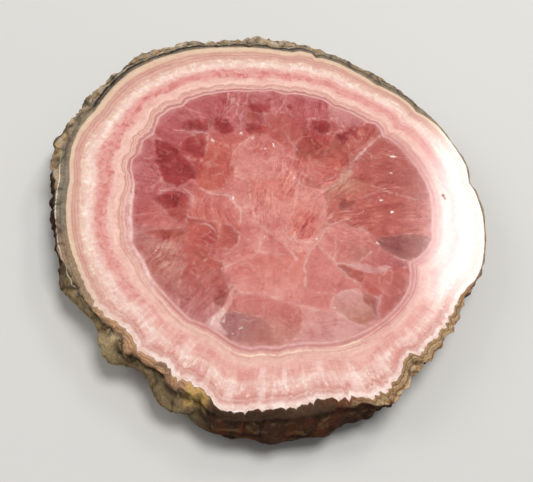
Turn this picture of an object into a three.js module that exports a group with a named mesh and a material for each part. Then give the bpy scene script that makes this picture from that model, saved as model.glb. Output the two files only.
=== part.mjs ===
// A polished slice of a rhodochrosite stalactite, lying on its sawn underside.
//
// It is one piece of stone. It has a flat polished face on top, a flat sawn face underneath, and the
// natural outside of the stalactite all the way round between them: a crust with lumps, ledges and,
// at the front right, the points of the crystals that it grew over.
//
// Millimetres, +Z up. The origin is at the middle of the slice's box, on the surface it rests on.
// Angles are degrees round from +X towards +Y, and radii are measured from the centre of the rings.

import * as THREE from "three";
import { mergeVertices } from "three/addons/utils/BufferGeometryUtils.js";

// The slice
const THICKNESS = 9;
const RING_CENTRE = new THREE.Vector2(1.78, -0.76);
const STEPS_ROUND = 360;

// The outline, as [angle, radius of the polished face, how far the wall swells past it at mid height,
// how far the sawn foot stays inside it].
const [RADIUS, SWELL, INSET] = [1, 2, 3];
const OUTLINE = [
  [0, 44.2, 0.3, 0.8],
  [12, 44.7, 0.2, 0.8],
  [20, 44.6, 0.2, 1.0],
  [23, 44.1, 0.3, 0.8],
  [29, 45.5, 0.4, 1.0],
  [45, 46.1, 0.5, 1.0],
  [60, 47.1, 0.3, 0.8],
  [75, 48.2, 0.2, 0.6],
  [90, 49.6, 0.3, 0.8],
  [99, 49.9, 0.3, 0.9],
  [104, 50.3, 0.4, 1.0],
  [111, 49.4, 0.4, 1.2],
  [121, 50.0, 0.4, 1.2],
  [125, 50.9, 0.4, 1.2],
  [128, 50.0, 0.5, 1.4],
  [133, 51.2, 0.5, 1.6],
  [138, 51.2, 0.5, 1.6],
  [142, 49.7, 0.4, 1.4],
  [151, 48.8, 0.4, 1.4],
  [157, 48.3, 0.4, 1.4],
  [161, 47.3, 0.4, 1.6],
  [171, 47.7, 0.4, 1.8],
  [178, 46.8, 0.3, 2.0],
  [183, 45.9, 0.2, 2.0],
  [187, 43.9, 1.0, 0.6],
  [200, 43.5, 0.3, 1.5],
  [210, 43.1, 1.1, 1.2],
  [220, 42.8, 1.0, 1.6],
  [232, 42.6, 0.3, 2.4],
  [241, 42.3, 0.6, 1.6],
  [248, 43.2, 0.3, 2.4],
  [254, 42.9, 2.6, 0.4],
  [262, 43.6, 3.2, 0.4],
  [268, 45.7, 2.4, 1.2],
  [276, 44.5, 3.5, 0.4],
  [284, 44.0, 3.8, 0.2],
  [291, 42.9, 4.4, -0.2],
  [298, 43.9, 2.4, 1.2],
  [303, 45.6, 0.2, 2.4],
  [308, 46.5, -0.8, 3.2],
  [312, 45.2, -0.6, 3.0],
  [317, 44.1, -0.8, 2.8],
  [325, 43.1, -0.9, 2.8],
  [336, 42.7, -0.8, 2.2],
  [343, 42.0, -0.3, 1.2],
  [350, 43.2, 0.0, 1.0],
];

// Rows of the wall, as parts of the thickness down from the polished face
const WALL_ROWS = [0, 0.055, 0.13, 0.23, 0.36, 0.49, 0.62, 0.75, 0.87, 0.955, 1];

// How the wall bends: below 1 the swell sits nearer the polished face, above 1 the foot draws in late
const SWELL_BEND = 0.8;
const INSET_BEND = 2.5;

// Rounded lumps on the crust: where, how far they reach out, and how far they spread along and up it
const LUMPS = [
  { angle: 238.5, height: 5.7, reach: 3.4, along: 4.4, up: 2.6 },
  { angle: 256, height: 5.2, reach: 1.3, along: 3.4, up: 2.4 },
  { angle: 266, height: 2.6, reach: 0.8, along: 3.0, up: 2.4 },
  { angle: 279, height: 4.6, reach: 0.6, along: 2.8, up: 2.6 },
  { angle: 291, height: 3.8, reach: 0.6, along: 3.2, up: 2.2 },
  { angle: 214, height: 3.4, reach: 0.9, along: 3.0, up: 2.4 },
  { angle: 196, height: 5.0, reach: 0.6, along: 2.6, up: 2.0 },
  { angle: 171, height: 5.2, reach: 0.6, along: 2.4, up: 2.4 },
  { angle: 146, height: 4.2, reach: 0.7, along: 3.2, up: 3.0 },
  { angle: 117, height: 4.6, reach: 0.7, along: 2.8, up: 2.4 },
  { angle: 82, height: 4.0, reach: 0.6, along: 3.0, up: 2.8 },
  { angle: 41, height: 4.4, reach: 0.6, along: 2.6, up: 2.4 },
];
const MEAN_RADIUS = 45;

// Crystal points that stand out of the wall at the front right. They are a period apart, some a little
// closer and some wider: the shift, in periods, comes and goes in waves round the slice.
const POINTS = { from: 299, to: 346, fade: 5, period: 4.6, reach: 0.6, shift: 0.22, waves: 5 };

// The groove under the polished rim, where the crust has broken away from the layer above it
const GROOVE = { depth: 0.55, row: 0.16, width: 0.08 };

// Small waves of the crust, as [height, waves round, turn per millimetre down, start], radians
const CRUST_WAVES = [
  [0.2, 13, 0.35, 0.4],
  [0.18, 22, -0.6, 2.1],
  [0.15, 37, 0.9, 4.4],
  [0.12, 53, -1.3, 1.2],
];

// The parts of the thickness down between which the crust gets rough, and how much of the roughness
// the saw took off again at the foot
const ROUGH = { none: -0.06, full: 0.12, footLoss: 0.5, footBend: 6 };

const PINK = 0xcf8479;

// Column of the outline at an angle. Between two neighbours it is a cubic whose slope at each of
// them is that of the chord from the one before to the one after.
function outlineAt(angle, column) {
  const count = OUTLINE.length;
  const last = OUTLINE.findLastIndex((row) => row[0] <= angle);
  const turned = (index) => {
    const row = OUTLINE[(index + count) % count];
    return [row[0] + 360 * Math.floor(index / count), row[column]];
  };
  const [before, start, end, after] = [-1, 0, 1, 2].map((step) => turned(last + step));
  const span = end[0] - start[0];
  const slopeStart = ((end[1] - before[1]) / (end[0] - before[0])) * span;
  const slopeEnd = ((after[1] - start[1]) / (after[0] - start[0])) * span;
  const t = (angle - start[0]) / span;
  const rise = end[1] - start[1];
  return start[1] + t * slopeStart
    + t * t * (3 * rise - 2 * slopeStart - slopeEnd)
    + t * t * t * (slopeStart + slopeEnd - 2 * rise);
}

// 0 outside a stretch of angles, 1 inside it, with a smooth step at each end
function stretch(angle, { from, to, fade }) {
  return THREE.MathUtils.smoothstep(angle, from - fade, from + fade)
    * (1 - THREE.MathUtils.smoothstep(angle, to - fade, to + fade));
}

// Sharp points with rounded valleys between them, 0 in a valley and up to the full reach at a tip
function crystalPoints(angle) {
  const shift = POINTS.shift * Math.sin(THREE.MathUtils.degToRad(POINTS.waves * angle));
  const phase = angle / POINTS.period + shift;
  const tip = Math.abs(Math.sin(Math.PI * phase));
  return POINTS.reach * stretch(angle, POINTS) * (1 - tip);
}

function lumps(angle, height) {
  return LUMPS.reduce((sum, lump) => {
    const turn = THREE.MathUtils.euclideanModulo(angle - lump.angle + 180, 360) - 180;
    const along = (THREE.MathUtils.degToRad(turn) * MEAN_RADIUS) / lump.along;
    const up = (height - lump.height) / lump.up;
    return sum + lump.reach * Math.exp(-(along ** 2) - up ** 2);
  }, 0);
}

function crustWaves(angle, height) {
  const turn = THREE.MathUtils.degToRad(angle);
  return CRUST_WAVES.reduce(
    (sum, [size, count, twist, start]) => sum + size * Math.sin(count * turn + twist * height + start),
    0,
  );
}

// Radius of the wall at an angle and at a part of the thickness down: the polished outline, swollen
// at mid height, drawn in towards the foot, grooved under the rim, then roughened.
function wallRadius(angle, down) {
  const height = THICKNESS * (1 - down);
  const swell = outlineAt(angle, SWELL) * Math.sin(Math.PI * down ** SWELL_BEND);
  const inset = outlineAt(angle, INSET) * down ** INSET_BEND;
  const groove = GROOVE.depth * Math.exp(-(((down - GROOVE.row) / GROOVE.width) ** 2));
  const rough = crustWaves(angle, height) + lumps(angle, height);
  const natural = THREE.MathUtils.smoothstep(down, ROUGH.none, ROUGH.full)
    * (1 - ROUGH.footLoss * down ** ROUGH.footBend);
  const smooth = outlineAt(angle, RADIUS) + swell - inset - groove;
  return smooth + crystalPoints(angle) + rough * natural;
}

// The net is a lathe of one profile: face centre, wall rows, foot centre. Each ring's points are then
// moved out to the wall's own radius at their angle.
function sliceGeometry() {
  const rows = WALL_ROWS.map((down) => new THREE.Vector2(1, THICKNESS * (1 - down)));
  const profile = [new THREE.Vector2(0, THICKNESS), ...rows, new THREE.Vector2(0, 0)].reverse();
  const geometry = new THREE.LatheGeometry(profile, STEPS_ROUND);
  geometry.rotateX(Math.PI / 2);
  const position = geometry.attributes.position;
  for (let index = 0; index < position.count; index += 1) {
    const row = index % profile.length;
    const step = Math.floor(index / profile.length) % STEPS_ROUND;
    const angle = (360 * step) / STEPS_ROUND;
    const onAxis = row === 0 || row === profile.length - 1;
    const height = profile[row].y;
    const radius = onAxis ? 0 : wallRadius(angle, 1 - height / THICKNESS);
    const turn = THREE.MathUtils.degToRad(angle);
    position.setXYZ(
      index,
      RING_CENTRE.x + radius * Math.cos(turn),
      RING_CENTRE.y + radius * Math.sin(turn),
      height,
    );
  }
  geometry.deleteAttribute("normal");
  geometry.deleteAttribute("uv");
  const merged = mergeVertices(geometry);
  merged.computeVertexNormals();
  return merged;
}

const slice = new THREE.Group();
const stone = new THREE.MeshStandardMaterial({ color: PINK, roughness: 0.25, metalness: 0 });
const body = new THREE.Mesh(sliceGeometry(), stone);
body.name = "stalactite_slice";
slice.add(body);

export default slice;
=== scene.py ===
# A polished slice of a rhodochrosite stalactite: red crystals in the middle, pink and cream growth rings
# round them, and a brown natural crust. One piece of stone, lying on its sawn underside.
import math

import bpy
import numpy as np
from bpy.props import FloatProperty, FloatVectorProperty, PointerProperty
from mathutils import Matrix, Vector


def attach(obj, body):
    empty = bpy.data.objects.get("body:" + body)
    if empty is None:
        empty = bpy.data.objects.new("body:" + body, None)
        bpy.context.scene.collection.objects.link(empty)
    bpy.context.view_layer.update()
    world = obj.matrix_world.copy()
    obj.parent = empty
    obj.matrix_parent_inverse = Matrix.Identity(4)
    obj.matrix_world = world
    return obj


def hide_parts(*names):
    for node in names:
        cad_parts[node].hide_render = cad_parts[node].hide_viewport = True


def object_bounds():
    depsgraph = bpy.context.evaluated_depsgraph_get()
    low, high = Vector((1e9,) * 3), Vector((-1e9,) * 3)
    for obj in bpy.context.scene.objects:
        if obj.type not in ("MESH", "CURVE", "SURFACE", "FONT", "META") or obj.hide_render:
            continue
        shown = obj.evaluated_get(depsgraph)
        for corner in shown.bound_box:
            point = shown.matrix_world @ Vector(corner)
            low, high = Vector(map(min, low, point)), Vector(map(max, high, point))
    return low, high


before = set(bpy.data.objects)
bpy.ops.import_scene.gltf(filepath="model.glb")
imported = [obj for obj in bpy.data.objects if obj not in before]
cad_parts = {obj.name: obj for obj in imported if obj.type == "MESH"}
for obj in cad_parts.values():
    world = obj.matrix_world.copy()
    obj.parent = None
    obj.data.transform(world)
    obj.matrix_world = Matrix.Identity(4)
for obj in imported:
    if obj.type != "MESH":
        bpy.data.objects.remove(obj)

bl_info = {
    "name": "Rhodochrosite slice",
    "version": (1, 0, 0),
    "blender": (4, 5, 0),
    "location": "3D View > Sidebar > Stone",
    "description": "Builds a polished stalactite slice with its crystals, growth rings and crust",
    "category": "Add Mesh",
}

CAD_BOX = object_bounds()
NODE = "stalactite_slice"
NAME = "stalactite_slice_fine"

# Lengths are millimetres and angles are degrees round from +X towards +Y, unless a name says otherwise.
# Radii are measured from the centre of the rings.
MM = 0.001
RING_CENTRE = np.array([1.78, -0.76])
THICKNESS = (CAD_BOX[1].z - CAD_BOX[0].z) / MM

# The net of the stone: cells across the crystal core, which has four steps round for each cell
CORE_CELLS = 180
STEPS = 4 * CORE_CELLS

# Its rows: across the rings, then closer ones from a part of the way out, down the wall, and back in below
BELT_ROWS = 24
CLOSER_FROM = 0.8
CLOSER_ROWS = 12
WALL_ROWS = 23
FOOT_ROWS = 18

# The frame's wall: how many points each of its rows has, and a length below the gap between two rows
FRAME_STEPS = 360
ROW_GAP = 0.1

# How far the edges are broken, and how far below the polish the even rows of the wall start
RIM_BREAK = 0.12
WALL_START = 0.4

# How deep the ledge in the crust is, and how far down the wall the wear at the rim reaches
LEDGE_DEPTH = 0.9
WORN_DOWN_TO = 3

# Noises, each as the size of its largest waves, how many layers it has, and its seed
WALL_LUMPS = (2.4, 4, 11)
WALL_GRIT = (1.0, 2, 23)
LARGE_CREASES = (4.2, 2, 81)
SMALL_CREASES = (2.1, 2, 91)
WANDER_X = (3.2, 3, 41)
WANDER_Y = (3.2, 3, 51)
WEAR = (1.7, 3, 71)

# How far the lumps and the grit stand out of the wall, and how deep the creases between the lumps are
LUMP_HEIGHT = 0.42
GRIT_HEIGHT = 0.2
CREASE_DEPTH = 0.5

# How far the edges of the crystals wander from their drawn lines, and the seams, cracks and dull spots
EDGE_WANDER = 0.32
SEAM_WANDER = 0.25

# Two crystals touch where a place lies closer to both than the first length. Where one lies deeper in both
# than the second length, the later crystal covers the earlier one.
TOUCHING = 0.6
COVERING = 0.5

# Distances past this one, in widths of a line or of an edge, are all the same to the material
FAR = 9.0

# Where the crystal core ends and the rings begin, as angle and radius
CORE_EDGE = [
    (0, 32.8), (6, 32.7), (12, 33.1), (18, 33.6), (24, 34.0), (34, 33.6), (44, 33.4), (49, 33.0),
    (51, 32.4), (54, 33.4), (57, 33.8), (60, 32.9), (68, 32.7), (74, 32.2), (80, 32.9), (90, 32.6),
    (96, 31.8), (100, 32.6), (104, 32.2), (108, 32.4), (110, 32.0), (114, 32.5), (120, 32.8),
    (128, 33.1), (134, 33.2), (138, 32.3), (143, 33.1), (149, 32.7), (154, 31.4), (157, 30.5),
    (162, 31.2), (168, 30.1), (172, 30.8), (176, 30.3), (180, 29.4), (184, 28.6), (190, 28.2),
    (197, 28.5), (207, 28.9), (213, 29.8), (218, 29.3), (221, 29.1), (228, 29.8), (236, 30.1),
    (243, 30.5), (250, 31.2), (253, 30.9), (257, 30.7), (261, 31.3), (265, 32.1), (269, 32.5),
    (272.5, 32.4), (275, 31.9), (281, 31.8), (284, 31.1), (290, 31.0), (295, 31.5), (299, 31.9),
    (307, 32.1), (317, 32.3), (330, 32.0), (337, 31.4), (342, 30.4), (346.5, 29.1), (350, 30.5),
    (355, 31.9),
]

# Where the rings end and the crust begins
RING_EDGE = [
    (0, 43.9), (12, 44.4), (20, 44.3), (23, 43.8), (29, 45.2), (45, 45.8), (50, 45.2), (52, 44.6),
    (55, 45.2), (60, 45.4), (65, 45.0), (67, 44.7), (70, 45.2), (75, 45.6), (80, 46.3), (85, 46.4),
    (87, 45.8), (88.5, 47.0), (92, 47.0), (94, 46.2), (98, 46.1), (105, 46.5), (112, 46.7), (118, 47.2),
    (125, 47.6), (135, 47.8), (143, 47.4), (150, 46.3), (157, 45.0), (160, 44.6), (168, 44.5),
    (175, 43.6), (180, 42.7), (186, 41.5), (195, 41.4), (205, 41.3), (217, 41.2), (228, 41.7),
    (234, 41.0), (238, 40.3), (241, 41.1), (245, 41.9), (249.5, 41.8), (252, 41.0), (254, 42.2),
    (255, 42.9), (259, 42.6), (263, 42.8), (265, 44.2), (267, 45.3), (271, 45.5), (276, 44.3),
    (283, 43.7), (287, 43.3), (290, 42.5), (294, 42.9), (299, 43.6), (302, 44.5), (307, 44.5),
    (310.5, 43.2), (314, 41.9), (317.5, 40.5), (320, 41.9), (324, 41.6), (334, 41.5), (342, 41.1),
    (346, 41.8), (350, 43.0), (355, 43.7),
]

# How far out of the ring belt, as a part of it, the red band starts and the peach layers start
RED_START = [(60, 0.37), (90, 0.336), (130, 0.336), (157, 0.38), (180, 0.33), (200, 0.42), (225, 0.35)]
PEACH_START = [
    (60, 0.77), (75, 0.72), (90, 0.68), (110, 0.68), (130, 0.645), (150, 0.69), (157, 0.72),
    (165, 0.73), (180, 0.80), (200, 0.77), (220, 0.77), (235, 0.74),
]

# The same two places once the belt is stretched to have them even all the way round
RED_MEAN = 0.35
PEACH_MEAN = 0.70

# The tables from here to the ledge are amounts that change round the slice, each as angle and amount.
# How far the rings have the colours of the front
SOUTH = [(0, 0), (215, 0), (245, 1), (335, 1), (350, 0.3), (358, 0)]

# How strong the red band is
RED_BAND = [
    (0, 0.3), (30, 0.3), (50, 0.35), (75, 0.5), (92, 1), (116, 1), (122, 0.75), (140, 0.8), (155, 1),
    (175, 1), (200, 0.9), (225, 0.8), (240, 0.4), (330, 0.3),
]

# How strong the scallops next to the core are
SCALLOPS = [
    (0, 0.1), (30, 0.3), (60, 0.5), (90, 1), (115, 1), (125, 0.6), (150, 0.8), (178, 0.9), (200, 0.4),
    (230, 0.2), (330, 0.2),
]

# How strong the teeth of the outer rings are
ZIGZAG = [
    (0, 0), (205, 0), (235, 0.6), (258, 0.5), (266, 0.3), (285, 0.4), (297, 0.8), (302, 0.9),
    (309, 0.8), (322, 0.8), (335, 0.6), (346, 0.2), (352, 0),
]

# How strong the black layers of the crust are
DARK_CRUST = [
    (0, 0), (48, 0), (55, 0.35), (88, 0.5), (95, 0.9), (156, 1), (160, 0.3), (178, 0.2), (186, 0),
    (359, 0),
]

# How strong the grey layers of the crust are
GREY_CRUST = [
    (0, 0.1), (50, 0.7), (92, 0.8), (97, 0.4), (160, 0.3), (176, 0.8), (186, 1), (222, 0.9), (238, 0.1),
    (359, 0),
]

# How strong the pale line of the crust is
PALE_LINE = [(0, 0), (176, 0), (184, 1), (215, 0.9), (228, 0), (359, 0)]

# How far the crust is broken below the polish
CHIPS = [
    (0, 0.3), (48, 0.5), (90, 0.9), (100, 1), (180, 1), (187, 0.1), (222, 0.1), (232, 0.8), (258, 0.8),
    (264, 0.2), (292, 0.2), (300, 0.9), (340, 0.9), (352, 0.3),
]

# How much the wall takes the dark bark colour: partly the crust's own brown, partly painted shade, most on
# the front
BARK_AND_SHADE = [
    (0, 0.3), (95, 0.15), (180, 0.35), (200, 0.6), (228, 0.3), (236, 0.1), (244, 0.6), (252, 0.45),
    (262, 1.1), (298, 1.1), (305, 0.5), (345, 0.3),
]

# How ragged the rim is; the wall gets its full roughness a little below it
RAGGED = [
    (0, 0.1), (48, 0.15), (60, 0.3), (92, 0.6), (97, 1), (180, 1), (187, 0.3), (228, 0.4), (234, 0.9),
    (260, 0.8), (266, 0.15), (296, 0.15), (302, 0.5), (342, 0.6), (352, 0.2),
]

# How rough the wall is
WALL_GRAIN = [(0, 1), (256, 1), (266, 0.45), (296, 0.45), (303, 1)]

# How rusty the crust is
RUST = [(0, 0.2), (235, 0.3), (262, 0.6), (272, 1), (290, 0.9), (302, 0.6), (330, 0.2)]

# Where the crust past the layers lies a little below the polish
LEDGE = [(0, 0), (212, 0), (219, 1), (238, 1), (246, 0), (359, 0)]

# Red, green and blue of the light that comes back out of the core, as parts of its own colours
CORE_TINT = (0.935, 0.995, 0.985)

# Soft ground colour of the core: x, y, how far it reaches, and the tone
GROUND = [
    (-22, 6, 6, "crimson"), (-20, 19, 6, "rose"), (-20, 15, 4, "crimson"), (-8, 27, 6, "rose"),
    (5, 27, 6, "crimson"), (14, 27, 5, "rose"), (12, 23, 5, "red"), (13, 16, 4, "brown"),
    (8, 18, 5, "brick"), (20, 20, 7, "brick"), (29, 14, 6, "brick"), (20, 16, 5, "brown"),
    (-20, 9, 4, "red"), (12, 17, 5, "brown"), (28, -8, 3, "brick"), (14, 9, 5, "gold"),
    (11, 8, 4, "brown"), (12, 1, 4, "brick"), (28, 2, 6, "ember"), (19, 4, 5, "ember"),
    (-12, 8, 6, "ember"), (-5, 10, 6, "salmon"), (3, 10, 6, "salmon"), (6, 2, 7, "blush"),
    (-6, -3, 6, "salmon"), (-11, -13, 6, "brick"), (-22, -9, 6, "rose"), (-18, -17, 5, "mauve"),
    (-10, -24, 6, "mauve"), (-3, -16, 5, "salmon"), (5, -12, 6, "blush"), (14, -18, 6, "blush"),
    (18, -26, 5, "haze"), (4, -29, 5, "taupe"), (22, -9, 5, "salmon"), (28, -14, 5, "rose"),
    (0, 20, 5, "brick"), (-13, 23, 5, "crimson"),
]

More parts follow.
